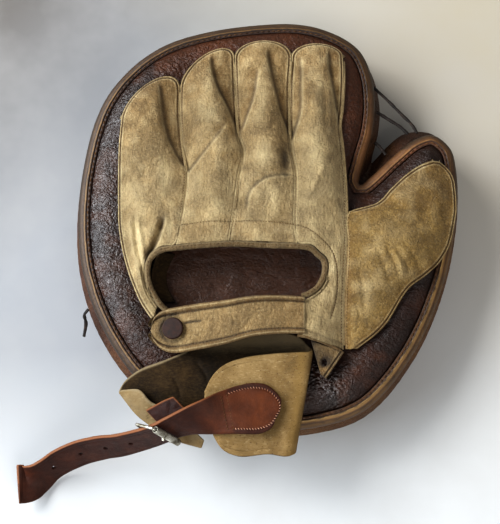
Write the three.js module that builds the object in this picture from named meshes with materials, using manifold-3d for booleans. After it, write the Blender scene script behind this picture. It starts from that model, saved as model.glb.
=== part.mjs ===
// Antique catcher's mitt for the left hand, lying palm down.
// Millimetres, +Z up, +Y towards the fingertips, +X towards the thumb.
// The origin is on the floor, under the middle of the mitt's box.
import * as THREE from "three";
import Module from "manifold-3d";
import { mergeVertices } from "three/addons/utils/BufferGeometryUtils.js";

const wasm = await Module();
wasm.setup();

// Driving dimensions
const leather = 2;
const strapLeather = 2.6;
const seamGap = 0.4;
const stallGap = 0.9;
const layGap = 1.2;
const beadGap = 1.4;
const stallColumns = 7;
const bindingWidth = 9.2;
const stepsPerRimRow = 3;
const bodyCentre = { x: 42, y: -20 };
const beadRadius = 2;
const laceRadius = 1.1;

// Outer edge of the binding, and below it the widest line of the palm
const rimRows = [
  { x: 86.4, y: 51.9, palmX: 96.5, palmY: 72.0 },
  { x: 96.2, y: 88.9, palmX: 101.8, palmY: 95.0 },
  { x: 98.4, y: 111.8, palmX: 103.0, palmY: 114.5 },
  { x: 95.6, y: 134.2, palmX: 98.5, palmY: 136.5 },
  { x: 86.5, y: 152.3, palmX: 88.4, palmY: 154.0 },
  { x: 63.5, y: 166.2, palmX: 64.2, palmY: 167.4 },
  { x: 30.2, y: 171.3, palmX: 30.3, palmY: 172.3 },
  { x: -52.9, y: 155.0, palmX: -53.6, palmY: 156.4 },
  { x: -93.3, y: 117.8, palmX: -95.2, palmY: 119.0 },
  { x: -110.7, y: 58.8, palmX: -112.9, palmY: 59.2 },
  { x: -110.3, y: -3.8, palmX: -113.6, palmY: -5.0 },
  { x: -93.6, y: -51.8, palmX: -98.0, palmY: -53.8 },
  { x: -63.8, y: -92.0, palmX: -67.0, palmY: -94.8 },
  { x: -29.2, y: -112.5, palmX: -30.8, palmY: -115.6 },
  { x: 8.5, y: -120.7, palmX: 8.0, palmY: -123.8 },
  { x: 50.3, y: -119.9, palmX: 51.0, palmY: -123.0 },
  { x: 87.5, y: -107.7, palmX: 89.4, palmY: -110.6 },
  { x: 120.6, y: -70.6, palmX: 123.2, palmY: -72.4 },
  { x: 143.3, y: -21.6, palmX: 146.2, palmY: -22.4 },
  { x: 154.5, y: 29.8, palmX: 157.2, palmY: 29.8 },
  { x: 155.1, y: 62.5, palmX: 157.6, palmY: 64.0 },
  { x: 150.9, y: 78.6, palmX: 153.0, palmY: 82.0 },
  { x: 138.3, y: 88.2, palmX: 139.2, palmY: 94.2 },
  { x: 124.0, y: 84.1, palmX: 120.8, palmY: 93.6 },
  { x: 108.7, y: 71.6, palmX: 108.2, palmY: 84.2 },
  { x: 94.4, y: 58.1, palmX: 100.2, palmY: 75.4 },
];

// Height of the mitt's back by distance in from the rim: binding, roll, then the flat bed
const skinRows = [
  { inset: 0, height: 44.0 },
  { inset: 1, height: 47.0 },
  { inset: 3, height: 48.8 },
  { inset: 6, height: 49.8 },
  { inset: 9.4, height: 50.6 },
  { inset: 14, height: 54.2 },
  { inset: 20, height: 56.5 },
  { inset: 26, height: 56.5 },
  { inset: 34, height: 54.8 },
  { inset: 46, height: 50.5 },
  { inset: 60, height: 47.2 },
  { inset: 90, height: 46.0 },
];

// Rings of the back from the middle out: share of the way to the binding's inner edge
const backReaches = [0.28, 0.52, 0.7, 0.8, 0.87, 0.935, 1];

// Rings under the palm from its widest line in: rolled edge, flat foot, then the ball pocket.
// round turns a ring from the palm's own outline into a circle about the body's centre.
const palmRows = [
  { reach: 1, height: 27, round: 0, radius: 0 },
  { reach: 0.99, height: 17, round: 0, radius: 0 },
  { reach: 0.962, height: 8, round: 0, radius: 0 },
  { reach: 0.925, height: 2.2, round: 0, radius: 0 },
  { reach: 0.88, height: 0, round: 0, radius: 0 },
  { reach: 0.77, height: 0, round: 0.1, radius: 84 },
  { reach: 0.62, height: 6.5, round: 0.5, radius: 76 },
  { reach: 0.42, height: 15.5, round: 0.9, radius: 50 },
  { reach: 0.2, height: 20.5, round: 1, radius: 24 },
];
const pocketHeight = 22;

// Binding section: distance in from the rim and height, once round
const bindingSection = [
  { inset: 0.2, height: 42.5 },
  { inset: 3.2, height: 38.3 },
  { inset: bindingWidth, height: 38.3 },
  { inset: bindingWidth, height: 50.2 },
  { inset: 5.6, height: 49.7 },
  { inset: 2.6, height: 48.5 },
  { inset: 0.6, height: 46.2 },
];

// Seams of the hand back: where each crosses a height of the picture, and how high it lies.
// A height of 0 rests on the back below it.
const seams = {
  littleEdge: [
    { y: 94, x: -82.2, height: 0 },
    { y: 75, x: -83.5, height: 0 },
    { y: 33, x: -83.3, height: 0 },
    { y: 17, x: -82.5, height: 0 },
    { y: -3, x: -78.7, height: 0 },
    { y: -19, x: -73.6, height: 0 },
    { y: -35, x: -66.6, height: 0 },
    { y: -47, x: -58.5, height: 0 },
  ],
  littleRing: [
    { y: 118, x: -41.0, height: 56 },
    { y: 97, x: -40.8, height: 58 },
    { y: 76, x: -38.6, height: 60.5 },
    { y: 56, x: -35.5, height: 63 },
    { y: 44, x: -35.7, height: 65 },
    { y: 27, x: -37.7, height: 68.5 },
    { y: 14, x: -39.9, height: 70.5 },
    { y: 3.6, x: -42.4, height: 72 },
  ],
  ringMiddle: [
    { y: 140, x: -2.4, height: 54 },
    { y: 117, x: -1.7, height: 57.5 },
    { y: 99, x: -0.8, height: 60.5 },
    { y: 81, x: 0.8, height: 63 },
    { y: 69.6, x: 4.0, height: 65 },
    { y: 51.5, x: 1.0, height: 68 },
    { y: 26, x: -2.2, height: 71.5 },
    { y: 6, x: -5.1, height: 74 },
  ],
  middleIndex: [
    { y: 141, x: 38.0, height: 54 },
    { y: 117, x: 36.4, height: 57.5 },
    { y: 100, x: 36.3, height: 61 },
    { y: 75, x: 36.9, height: 64 },
    { y: 55, x: 40.2, height: 67 },
    { y: 43, x: 40.3, height: 69 },
    { y: 18, x: 39.4, height: 72 },
    { y: 4.4, x: 41.1, height: 73.5 },
  ],
  indexEdge: [
    { y: 142, x: 74.6, height: 0 },
    { y: 125, x: 74.8, height: 0 },
    { y: 104, x: 73.5, height: 0 },
    { y: 91, x: 71.8, height: 60 },
    { y: 74, x: 73.4, height: 60.5 },
    { y: 50, x: 74.9, height: 61.5 },
    { y: 29, x: 75.4, height: 63 },
    { y: 11, x: 75.2, height: 64.5 },
    { y: -20, x: 73.4, height: 63.5 },
    { y: -45, x: 72.4, height: 61 },
    { y: -67, x: 72.6, height: 58 },
  ],
};

// Outer edge of the window's bead, up the left end, along the top and down the right end
const windowLeft = [
  { y: 2.6, x: -51.4, height: 70.5 },
  { y: -0.4, x: -58.1, height: 68.5 },
  { y: -6, x: -62.7, height: 66.5 },
  { y: -14.6, x: -64.1, height: 64.5 },
  { y: -23.5, x: -62.7, height: 63 },
  { y: -32, x: -58.6, height: 62 },
  { y: -38, x: -54.6, height: 61.5 },
];
const windowRight = [
  { y: 3.2, x: 50.6, height: 71.5 },
  { y: -1.3, x: 56.4, height: 69.5 },
  { y: -5.1, x: 60.8, height: 67.5 },
  { y: -10.5, x: 62.1, height: 66.5 },
  { y: -18.9, x: 60.9, height: 66 },
  { y: -26.9, x: 56.2, height: 66.5 },
  { y: -32, x: 49.2, height: 68 },
  { y: -36, x: 44.2, height: 70.5 },
  { y: -58.4, x: 43.8, height: 71.5 },
];

// How far each finger's tube stands above its two seams, from the tips to the window
const fingerRise = [
  { y: 140, rise: 5 },
  { y: 110, rise: 7.5 },
  { y: 80, rise: 8 },
  { y: 50, rise: 6 },
  { y: 25, rise: 3.5 },
  { y: 5, rise: 1.5 },
  { y: -50, rise: 2.5 },
];
const thumbRise = [
  { y: 65, rise: 0 },
  { y: 50, rise: 4.5 },
  { y: 30, rise: 8.5 },
  { y: 10, rise: 10.5 },
  { y: -12, rise: 8.5 },
  { y: -35, rise: 5 },
  { y: -66, rise: 2 },
];

// Folds pressed into the hand back, each a groove along a line
const foldRows = [
  { name: "little valley", x0: -53, y0: 114, x1: -38, y1: 62, half: 6, depth: 3.2 },
  { name: "ring valley", x0: -16, y0: 134, x1: -3, y1: 84, half: 6, depth: 3.2 },
  { name: "ring diagonal", x0: -34, y0: 58, x1: -16, y1: 86, half: 5, depth: 2.6 },
  { name: "middle valley", x0: 21, y0: 130, x1: 35, y1: 84, half: 6, depth: 3.2 },
  { name: "middle left valley", x0: 3, y0: 122, x1: 9, y1: 80, half: 5, depth: 2 },
  { name: "index valley", x0: 62, y0: 134, x1: 71, y1: 92, half: 5, depth: 2.8 },
  { name: "knuckle crease", x0: -51, y0: 25, x1: -63, y1: -2, half: 5, depth: 3.4 },
  { name: "thumb crease", x0: 84, y0: 12, x1: 96, y1: -34, half: 6, depth: 2.4 },
];

// Sections of the thumb panel, from its tip down to the heel
const thumbRows = [
  { y: 65.2, left: 136.5, right: 141.5 },
  { y: 62, left: 127.6, right: 146.5 },
  { y: 55, left: 117, right: 151.2 },
  { y: 45, left: 106.3, right: 152.8 },
  { y: 35, left: 96.2, right: 153.2 },
  { y: 28.5, left: 77.6, right: 152.8 },
  { y: 7, left: 76.2, right: 147.6 },
  { y: -6, left: 75.5, right: 139.8 },
  { y: -16, left: 74.8, right: 129.2 },
  { y: -23.5, left: 74.4, right: 119 },
  { y: -31, left: 74.0, right: 113 },
  { y: -48, left: 73.5, right: 102.5 },
  { y: -57, left: 73.6, right: 94 },
  { y: -66.5, left: 74.0, right: 81.5 },
];

// Sections of the wrist band from its button end to the thumb side
const bandRows = [
  { x: -58.8, top: -50.5, low: -57, height: 60.6 },
  { x: -57, top: -45.2, low: -61.5, height: 60.8 },
  { x: -51.5, top: -40.6, low: -67.3, height: 61.8 },
  { x: -43, top: -38.6, low: -69.8, height: 63.5 },
  { x: -28, top: -36.8, low: -68.3, height: 68.5 },
  { x: -9, top: -34.9, low: -65, height: 72.6 },
  { x: 9.8, top: -32.3, low: -60, height: 75 },
  { x: 28.6, top: -31.7, low: -58, height: 74.5 },
  { x: 43.2, top: -32.2, low: -57.6, height: 71.8 },
];

// Sections across the cuff: right flap, its fold, then the lower layer to the left.
// lift is 1 on the flap and 0 on the lower layer.
const cuffRows = [
  { handX: -21.6, handY: -96.0, wristX: -21.2, wristY: -109.3, lift: 1 },
  { handX: -15.9, handY: -84.5, wristX: -15.4, wristY: -125.4, lift: 1 },
  { handX: -7.8, handY: -77.7, wristX: -9.6, wristY: -134.0, lift: 1 },
  { handX: 5.1, handY: -73.3, wristX: 1.8, wristY: -138.4, lift: 1 },
  { handX: 25.5, handY: -70.6, wristX: 20.6, wristY: -136.9, lift: 1 },
  { handX: 42.4, handY: -69.6, wristX: 32.5, wristY: -138.4, lift: 1 },
  { handX: 48.6, handY: -69.2, wristX: 37.2, wristY: -137.2, lift: 0.84 },
  { handX: 50.8, handY: -67.4, wristX: 38.8, wristY: -135.6, lift: 0.5 },
  { handX: 48.4, handY: -64.4, wristX: 37.0, wristY: -134.0, lift: 0.16 },
  { handX: 42.0, handY: -58.6, wristX: 31.5, wristY: -130.0, lift: 0 },
  { handX: 27.0, handY: -55.0, wristX: 16.6, wristY: -125.1, lift: 0 },
  { handX: 8.5, handY: -55.0, wristX: -1.0, wristY: -121.6, lift: 0 },
  { handX: -12.1, handY: -59.0, wristX: -22.1, wristY: -122.3, lift: 0 },
  { handX: -32.6, handY: -67.6, wristX: -40.6, wristY: -122.8, lift: 0 },
  { handX: -49.6, handY: -75.0, wristX: -56.4, wristY: -118.2, lift: 0 },
  { handX: -66.4, handY: -80.6, wristX: -69.5, wristY: -109.0, lift: 0 },
  { handX: -77.1, handY: -87.5, wristX: -78.2, wristY: -98.8, lift: 0 },
  { handX: -81.0, handY: -92.4, wristX: -81.4, wristY: -95.4, lift: 0 },
];
const flap = { handHeight: 63.6, wristHeight: 59.8, crown: 2.6 };

// Top of the cuff's lower layer by distance in from the rim; it hangs past the rim below 0
const drapeRows = [
  { inset: -30, height: 39.5 },
  { inset: -16, height: 43.2 },
  { inset: -6, height: 47.4 },
  { inset: 4, height: 53.4 },
  { inset: 14, height: 58.8 },
  { inset: 22, height: 61.2 },
  { inset: 34, height: 59.6 },
  { inset: 48, height: 53.6 },
  { inset: 62, height: 51.0 },
  { inset: 90, height: 50.6 },
];

// The cuff's left flap: its fold line and its free edge, with each edge's height over the drape
const leftFlapRows = [
  { foldX: -81.0, foldY: -95.6, foldLift: 2.0, edgeX: -79.2, edgeY: -93.8, edgeLift: 3.0 },
  { foldX: -76.6, foldY: -101.4, foldLift: 1.8, edgeX: -67.5, edgeY: -94.2, edgeLift: 5.5 },
  { foldX: -68.9, foldY: -110.5, foldLift: 1.6, edgeX: -59.5, edgeY: -102.0, edgeLift: 5.0 },
  { foldX: -56.6, foldY: -119.6, foldLift: 1.6, edgeX: -49.0, edgeY: -107.0, edgeLift: 3.0 },
  { foldX: -42.1, foldY: -127.5, foldLift: 1.6, edgeX: -37.0, edgeY: -115.5, edgeLift: 2.0 },
  { foldX: -25.0, foldY: -132.6, foldLift: 1.6, edgeX: -23.2, edgeY: -127.8, edgeLift: 1.8 },
];

// Stations of the buckle strap from its sewn paddle to its free end; roll lifts the far edge
const strapRows = [
  { x: 28.6, y: -108.6, z: 67.4, roll: 0, half: 3.5 },
  { x: 26.4, y: -108.0, z: 67.4, roll: 0, half: 10.5 },
  { x: 21.5, y: -107.6, z: 67.4, roll: 0, half: 15.4 },
  { x: 12.5, y: -107.4, z: 67.4, roll: 0, half: 16.8 },
  { x: 1.8, y: -108.4, z: 67.4, roll: 0, half: 15.8 },
  { x: -8.9, y: -110.4, z: 67.6, roll: 8, half: 14 },
  { x: -20.2, y: -113.1, z: 67.4, roll: 28, half: 12.8 },
  { x: -31.7, y: -115.9, z: 64.6, roll: 47, half: 12.5 },
  { x: -43.2, y: -119.7, z: 60.2, roll: 58, half: 12.5 },
  { x: -53.8, y: -123.8, z: 54, roll: 61, half: 12.5 },
  { x: -66.7, y: -127.5, z: 45.5, roll: 60, half: 12.5 },
  { x: -81.1, y: -130.6, z: 37, roll: 58, half: 12.5 },
  { x: -95.7, y: -132.4, z: 29, roll: 55, half: 12.5 },
  { x: -110.5, y: -135.7, z: 21, roll: 52, half: 12.5 },
  { x: -123.8, y: -141.1, z: 15, roll: 51, half: 12.5 },
  { x: -133.9, y: -147.3, z: 12, roll: 52, half: 12.5 },
  { x: -141.9, y: -153.0, z: 10, roll: 36, half: 12.7 },
  { x: -148.7, y: -156.6, z: 9.6, roll: 8, half: 13 },
  { x: -154.6, y: -157.2, z: 13, roll: 0, half: 13.2 },
];
const buckleStation = 9;
const strapSteps = 2;
const strapHoles = [
  { station: 8.82, radius: 2.7 },
  { station: 10.45, radius: 1.8 },
  { station: 11.7, radius: 1.8 },
  { station: 12.95, radius: 1.8 },
  { station: 14.6, radius: 1.8 },
];

// Buckle: a flat wire frame with a roller on the bar that presses the strap
const buckle = { innerWidth: 27.5, barGap: 17.4, wire: 2, tilt: 29, rollerBore: 1.8, rollerRadius: 2.4 };

const finish = {
  tan: { color: 0xb59b6b, roughness: 0.85, metalness: 0 },
  brown: { color: 0x3c2320, roughness: 0.42, metalness: 0 },
  palm: { color: 0x4a2c22, roughness: 0.6, metalness: 0 },
  binding: { color: 0x7a5231, roughness: 0.6, metalness: 0 },
  olive: { color: 0x5d4f38, roughness: 0.9, metalness: 0 },
  strap: { color: 0x7a3a22, roughness: 0.5, metalness: 0 },
  button: { color: 0x6c4b42, roughness: 0.35, metalness: 0.2 },
  lace: { color: 0x2c1a14, roughness: 0.6, metalness: 0 },
  nickel: { color: 0xc8c6bd, roughness: 0.3, metalness: 0.9 },
};

// Number helpers
function mix(a, b, t) {
  return a + (b - a) * t;
}

// Smooth curve through a table: cubic between rows, level past both ends
function tableValue(rows, key, column, at) {
  const ordered = rows[0][key] < rows[rows.length - 1][key] ? rows : [...rows].reverse();
  const last = ordered.length - 1;
  if (at <= ordered[0][key]) return ordered[0][column];
  if (at >= ordered[last][key]) return ordered[last][column];
  const low = ordered.findLastIndex((row) => row[key] <= at);
  const slope = (index) => {
    const before = ordered[Math.max(index - 1, 0)];
    const after = ordered[Math.min(index + 1, last)];
    return (after[column] - before[column]) / (after[key] - before[key]);
  };
  const span = ordered[low + 1][key] - ordered[low][key];
  const t = (at - ordered[low][key]) / span;
  const startShare = 2 * t ** 3 - 3 * t ** 2 + 1;
  const startSlope = slope(low) * span * (t ** 3 - 2 * t ** 2 + t);
  const endSlope = slope(low + 1) * span * (t ** 3 - t ** 2);
  const between = mix(ordered[low + 1][column], ordered[low][column], startShare);
  return between + startSlope + endSlope;
}

// Distance from a point to the stretch between two others
function distanceToSegment(x, y, x0, y0, x1, y1) {
  const runX = x1 - x0;
  const runY = y1 - y0;
  const share = ((x - x0) * runX + (y - y0) * runY) / (runX ** 2 + runY ** 2);
  const t = THREE.MathUtils.clamp(share, 0, 1);
  return Math.hypot(x - x0 - runX * t, y - y0 - runY * t);
}

// Closed spline through the rim table, a fixed number of steps for each row
function closedLoop(xKey, yKey) {
  const points = rimRows.map((row) => new THREE.Vector3(row[xKey], row[yKey], 0));
  const curve = new THREE.CatmullRomCurve3(points, true, "centripetal");
  const count = rimRows.length * stepsPerRimRow;
  return Array.from({ length: count }, (_, i) => curve.getPoint(i / count));
}

const rimLoop = closedLoop("x", "y");
const palmLoop = closedLoop("palmX", "palmY");

// Rim moved inwards along its own normals
function insetLoop(inset) {
  const count = rimLoop.length;
  return rimLoop.map((point, i) => {
    const before = rimLoop[(i + count - 1) % count];
    const after = rimLoop[(i + 1) % count];
    const along = new THREE.Vector3().subVectors(after, before).normalize();
    return new THREE.Vector3(point.x - along.y * inset, point.y + along.x * inset, 0);
  });
}

// Distance in from the rim, less than 0 outside it
function rimInset(x, y) {
  let nearest = Infinity;
  let inside = false;
  rimLoop.forEach((a, i) => {
    const b = rimLoop[(i + 1) % rimLoop.length];
    nearest = Math.min(nearest, distanceToSegment(x, y, a.x, a.y, b.x, b.y));
    const crossing = a.x + ((b.x - a.x) * (y - a.y)) / (b.y - a.y);
    if (a.y > y !== b.y > y && x < crossing) inside = !inside;
  });
  return inside ? nearest : -nearest;
}

function skinHeight(x, y) {
  return tableValue(skinRows, "inset", "height", rimInset(x, y));
}

function drapeHeight(x, y) {
  return tableValue(drapeRows, "inset", "height", rimInset(x, y));
}

function foldDepth(x, y) {
  return foldRows.reduce((sum, fold) => {
    const away = distanceToSegment(x, y, fold.x0, fold.y0, fold.x1, fold.y1);
    return sum + fold.depth * Math.exp(-((away / fold.half) ** 2));
  }, 0);
}

// Indexed body from points and triangles, turned outwards if it came out inside out
function bodyGeometry(points, faces) {
  const volume = faces.reduce((sum, [a, b, c]) => {
    return sum + points[a].dot(new THREE.Vector3().crossVectors(points[b], points[c]));
  }, 0);
  const order = volume > 0 ? faces : faces.map(([a, b, c]) => [a, c, b]);
  const geometry = new THREE.BufferGeometry();
  const positions = points.flatMap((point) => [point.x, point.y, point.z]);
  geometry.setAttribute("position", new THREE.Float32BufferAttribute(positions, 3));
  geometry.setIndex(order.flat());
  return geometry;
}

// Body from closed rings; it ends in two poles, or without them its last ring meets its first
function ringGeometry(rings, poles = []) {
  const count = rings[0].length;
  const points = [...rings.flat(), ...poles];
  const faces = [];
  const joins = poles.length ? rings.length - 1 : rings.length;
  for (let ring = 0; ring < joins; ring += 1) {
    const inner = ring * count;
    const outer = ((ring + 1) % rings.length) * count;
    for (let i = 0; i < count; i += 1) {
      const next = (i + 1) % count;
      faces.push([inner + i, outer + i, outer + next], [inner + i, outer + next, inner + next]);
    }
  }
  if (poles.length) {
    const first = rings.length * count;
    const lastRing = (rings.length - 1) * count;
    for (let i = 0; i < count; i += 1) {
      const next = (i + 1) % count;
      faces.push([first, i, next], [first + 1, lastRing + next, lastRing + i]);
    }
  }
  return bodyGeometry(points, faces);
}

// Body between two grids of the same size: both faces and the wall round their edge
function sheetGeometry(top, low) {
  const rows = top.length;
  const columns = top[0].length;
  const points = [...top.flat(), ...low.flat()];
  const offset = rows * columns;
  const at = (row, column) => row * columns + column;
  const faces = [];
  for (let row = 0; row < rows - 1; row += 1) {
    for (let column = 0; column < columns - 1; column += 1) {
      const [a, b] = [at(row, column), at(row + 1, column)];
      const [c, d] = [at(row + 1, column + 1), at(row, column + 1)];
      faces.push([a, b, c], [a, c, d]);
      faces.push([a + offset, c + offset, b + offset], [a + offset, d + offset, c + offset]);
    }
  }
  const border = [];
  for (let row = 0; row < rows - 1; row += 1) border.push(at(row, 0));
  for (let column = 0; column < columns - 1; column += 1) border.push(at(rows - 1, column));
  for (let row = rows - 1; row > 0; row -= 1) border.push(at(row, columns - 1));
  for (let column = columns - 1; column > 0; column -= 1) border.push(at(0, column));
  border.forEach((a, i) => {
    const b = border[(i + 1) % border.length];
    faces.push([a, a + offset, b + offset], [a, b + offset, b]);
  });
  return bodyGeometry(points, faces);
}

function lowered(grid, depth) {
  return grid.map((row) => row.map((point) => new THREE.Vector3(point.x, point.y, point.z - depth)));
}

// Sheet of one thickness about a middle surface, moved along the grid's own normals
function thickSheet(grid, thickness) {
  const moved = (side) => grid.map((row, i) => row.map((point, j) => {
    const nextInRow = row[Math.min(j + 1, row.length - 1)];
    const nextRow = grid[Math.min(i + 1, grid.length - 1)];
    const alongRow = new THREE.Vector3().subVectors(nextInRow, row[Math.max(j - 1, 0)]);
    const alongColumn = new THREE.Vector3().subVectors(nextRow[j], grid[Math.max(i - 1, 0)][j]);
    const normal = alongColumn.cross(alongRow).normalize();
    return point.clone().addScaledVector(normal, (side * thickness) / 2);
  }));
  return sheetGeometry(moved(1), moved(-1));
}

function tubeGeometry(points, radius, sides, steps) {
  const section = new THREE.Shape();
  for (let i = 0; i < sides; i += 1) {
    const angle = (i / sides) * 2 * Math.PI;
    const move = i === 0 ? "moveTo" : "lineTo";
    section[move](radius * Math.cos(angle), radius * Math.sin(angle));
  }
  section.closePath();
  const path = new THREE.CatmullRomCurve3(points.map((p) => new THREE.Vector3(...p)), false, "centripetal");
  return new THREE.ExtrudeGeometry(section, { steps, bevelEnabled: false, extrudePath: path });
}

// Solids for cutting
function toSolid(geometry) {
  const bare = geometry.clone();
  bare.deleteAttribute("normal");
  bare.deleteAttribute("uv");
  const merged = mergeVertices(bare, 1e-4);
  return new wasm.Manifold(new wasm.Mesh({
    numProp: 3,
    vertProperties: new Float32Array(merged.attributes.position.array),
    triVerts: new Uint32Array(merged.index.array),
  }));
}

function fromSolid(solid) {
  const mesh = solid.getMesh();
  const geometry = new THREE.BufferGeometry();
  geometry.setAttribute("position", new THREE.BufferAttribute(new Float32Array(mesh.vertProperties), 3));
  geometry.setIndex(new THREE.BufferAttribute(new Uint32Array(mesh.triVerts), 1));
  return geometry;
}

// Round cutter centred on a point, with its axis along a direction
function cutter(radius, length, centre, direction) {
  const geometry = new THREE.CylinderGeometry(radius, radius, length, 8);
  const upright = new THREE.Vector3(0, 1, 0);
  geometry.applyQuaternion(new THREE.Quaternion().setFromUnitVectors(upright, direction));
  geometry.translate(centre.x, centre.y, centre.z);
  return toSolid(geometry);
}

const mitt = new THREE.Group();

function add(name, geometry, look) {
  geometry.computeVertexNormals();
  const mesh = new THREE.Mesh(geometry, new THREE.MeshStandardMaterial(look));
  mesh.name = name;
  mitt.add(mesh);
  return mesh;
}

// Padded body: rings from the middle of the bed out, round the edge and under to the pocket
const innerRim = insetLoop(bindingWidth + seamGap);

function backRing(reach, below) {
  return innerRim.map((edge) => {
    const x = mix(bodyCentre.x, edge.x, reach);
    const y = mix(bodyCentre.y, edge.y, reach);
    return new THREE.Vector3(x, y, skinHeight(x, y) - below);
  });
}

function backPole(below) {
  return new THREE.Vector3(bodyCentre.x, bodyCentre.y, skinHeight(bodyCentre.x, bodyCentre.y) - below);
}

function atHeight(loop, height) {
  return loop.map((point) => new THREE.Vector3(point.x, point.y, height));
}

function palmPad() {
  const below = leather + layGap;
  const rebate = 37.8;
  const rings = backReaches.map((reach) => backRing(reach, below));
  rings.push(atHeight(innerRim, rebate), atHeight(insetLoop(3), rebate - 0.6));
  palmRows.forEach((row) => {
    rings.push(palmLoop.map((point) => {
      const away = Math.hypot(point.x - bodyCentre.x, point.y - bodyCentre.y);
      const reach = mix(row.reach, row.radius / away, row.round);
      const x = mix(bodyCentre.x, point.x, reach);
      return new THREE.Vector3(x, mix(bodyCentre.y, point.y, reach), row.height);
    }));
  });
  const pocket = new THREE.Vector3(bodyCentre.x, bodyCentre.y, pocketHeight);
  add("palm_pad", ringGeometry(rings, [backPole(below), pocket]), finish.palm);
}

function backPanel() {
  const top = backReaches.map((reach) => backRing(reach, 0));
  const low = [...backReaches].reverse().map((reach) => backRing(reach, leather));
  add("back_panel", ringGeometry([...top, ...low], [backPole(0), backPole(leather)]), finish.brown);
}

function edgeBinding() {
  const rings = bindingSection.map((row) => atHeight(insetLoop(row.inset), row.height));
  add("edge_binding", ringGeometry(rings), finish.binding);
}

// Seam as a curve in space; where its table gives no height it lies on the back
function seamCurve(rows) {
  const points = rows.map(({ x, y, height }) => {
    return new THREE.Vector3(x, y, Math.max(height, skinHeight(x, y) + leather + layGap));
  });
  return new THREE.CatmullRomCurve3(points, false, "centripetal");
}

// Leather panels of the hand back, each between two seams and arched at its tip
const stallShapes = [
  {
    name: "little_stall",
    left: seams.littleEdge,
    right: [...seams.littleRing, ...windowLeft],
    arch: 17,
    tipLength: 0.16,
    rows: 17,
  },
  {
    name: "ring_stall",
    left: seams.littleRing,
    right: seams.ringMiddle,
    arch: 15,
    tipLength: 0.16,
    rows: 12,
  },
  {
    name: "middle_stall",
    left: seams.ringMiddle,
    right: seams.middleIndex,
    arch: 13,
    tipLength: 0.16,
    rows: 12,
  },
  {
    name: "index_stall",
    left: [...seams.middleIndex, ...windowRight],
    right: seams.indexEdge,
    arch: 10,
    tipLength: 0.12,
    rows: 18,
  },
];

function stall(shape) {
  const lay = leather + layGap;
  const left = seamCurve(shape.left);
  const right = seamCurve(shape.right);
  const top = [];
  for (let i = 0; i <= shape.rows; i += 1) {
    const v = (i / shape.rows) ** 1.15;
    const start = left.getPointAt(v);
    const end = right.getPointAt(v);
    start.x += stallGap / 2;
    end.x -= stallGap / 2;
    const tipBlend = Math.sin((Math.min(1, v / shape.tipLength) * Math.PI) / 2);
    const row = [];
    for (let j = 0; j <= stallColumns; j += 1) {
      const u = mix(j / stallColumns, (1 - Math.cos((Math.PI * j) / stallColumns)) / 2, 0.75);
      const tube = Math.sin(Math.PI * u);
      const arch = shape.arch * Math.sqrt(Math.max(0, 1 - (2 * u - 1) ** 2)) * (1 - v);
      const x = mix(start.x, end.x, u);
      const y = mix(start.y, end.y, u) + arch;
      const rise = tableValue(fingerRise, "y", "rise", y) * tube ** 1.2 - foldDepth(x, y) * tube;
      const onSkin = skinHeight(x, y) + lay;
      const raised = Math.max(mix(start.z, end.z, u) + rise, onSkin);
      row.push(new THREE.Vector3(x, y, mix(onSkin, raised, tipBlend)));
    }
    top.push(row);
  }
  add(shape.name, sheetGeometry(top, lowered(top, leather)), finish.tan);
}

function thumbStall() {
  const lay = leather + layGap;
  const top = [];
  const rows = 14;
  const columns = 9;
  const highest = thumbRows[0].y;
  const lowest = thumbRows[thumbRows.length - 1].y;
  for (let i = 0; i <= rows; i += 1) {
    const y = mix(highest, lowest, i / rows);
    const left = tableValue(thumbRows, "y", "left", y);
    const right = tableValue(thumbRows, "y", "right", y);
    const seamHeight = tableValue(seams.indexEdge, "y", "height", y);
    const leftHeight = y < 29 ? Math.max(seamHeight, skinHeight(left, y) + lay) : skinHeight(left, y) + lay;
    const rightHeight = skinHeight(right, y) + lay;
    const row = [];
    for (let j = 0; j <= columns; j += 1) {
      const u = j / columns;
      const x = mix(left, right, u);
      const rise = tableValue(thumbRise, "y", "rise", y) * Math.sin(Math.PI * u);
      const raised = mix(leftHeight, rightHeight, u) + rise - foldDepth(x, y) * Math.sin(Math.PI * u);
      row.push(new THREE.Vector3(x, y, Math.max(raised, skinHeight(x, y) + lay)));
    }
    top.push(row);
  }
  add("thumb_stall", sheetGeometry(top, lowered(top, leather)), finish.tan);
}

// Rolled bead round the window, set in from the edge of the panels round it
function windowBead() {
  const edge = [
    ...[...windowLeft].reverse(),
    { x: -42.4, y: 3.6, height: 72 },
    { x: -5.1, y: 6, height: 74 },
    { x: 20, y: 5, height: 74 },
    { x: 41.1, y: 4.4, height: 73.5 },
    ...windowRight.slice(0, 7),
  ];
  const inward = beadRadius + beadGap;
  const path = edge.map((row, i) => {
    const next = edge[Math.min(i + 1, edge.length - 1)];
    const before = edge[Math.max(i - 1, 0)];
    const run = Math.hypot(next.x - before.x, next.y - before.y);
    const x = row.x + ((next.y - before.y) / run) * inward;
    const y = row.y - ((next.x - before.x) / run) * inward;
    return [x, y, row.height - leather / 2];
  });
  add("window_bead", tubeGeometry(path, beadRadius, 6, 34), finish.tan);
}

// Inner wall of the pocket at the window's left end
function pouchWall() {
  const top = [];
  for (let i = 0; i <= 8; i += 1) {
    const y = mix(-33, 0, i / 8);
    const bow = 6 * Math.sin((Math.PI * i) / 8);
    const row = [];
    for (let j = 0; j <= 3; j += 1) {
      const down = j / 3;
      row.push(new THREE.Vector3(
        -52.5 - bow + 9 * down,
        y,
        mix(tableValue(windowLeft, "y", "height", y) - 6, 51.5, down ** 0.8),
      ));
    }
    top.push(row);
  }
  add("pouch_wall", thickSheet(top, 1.5), finish.olive);
}

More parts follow.
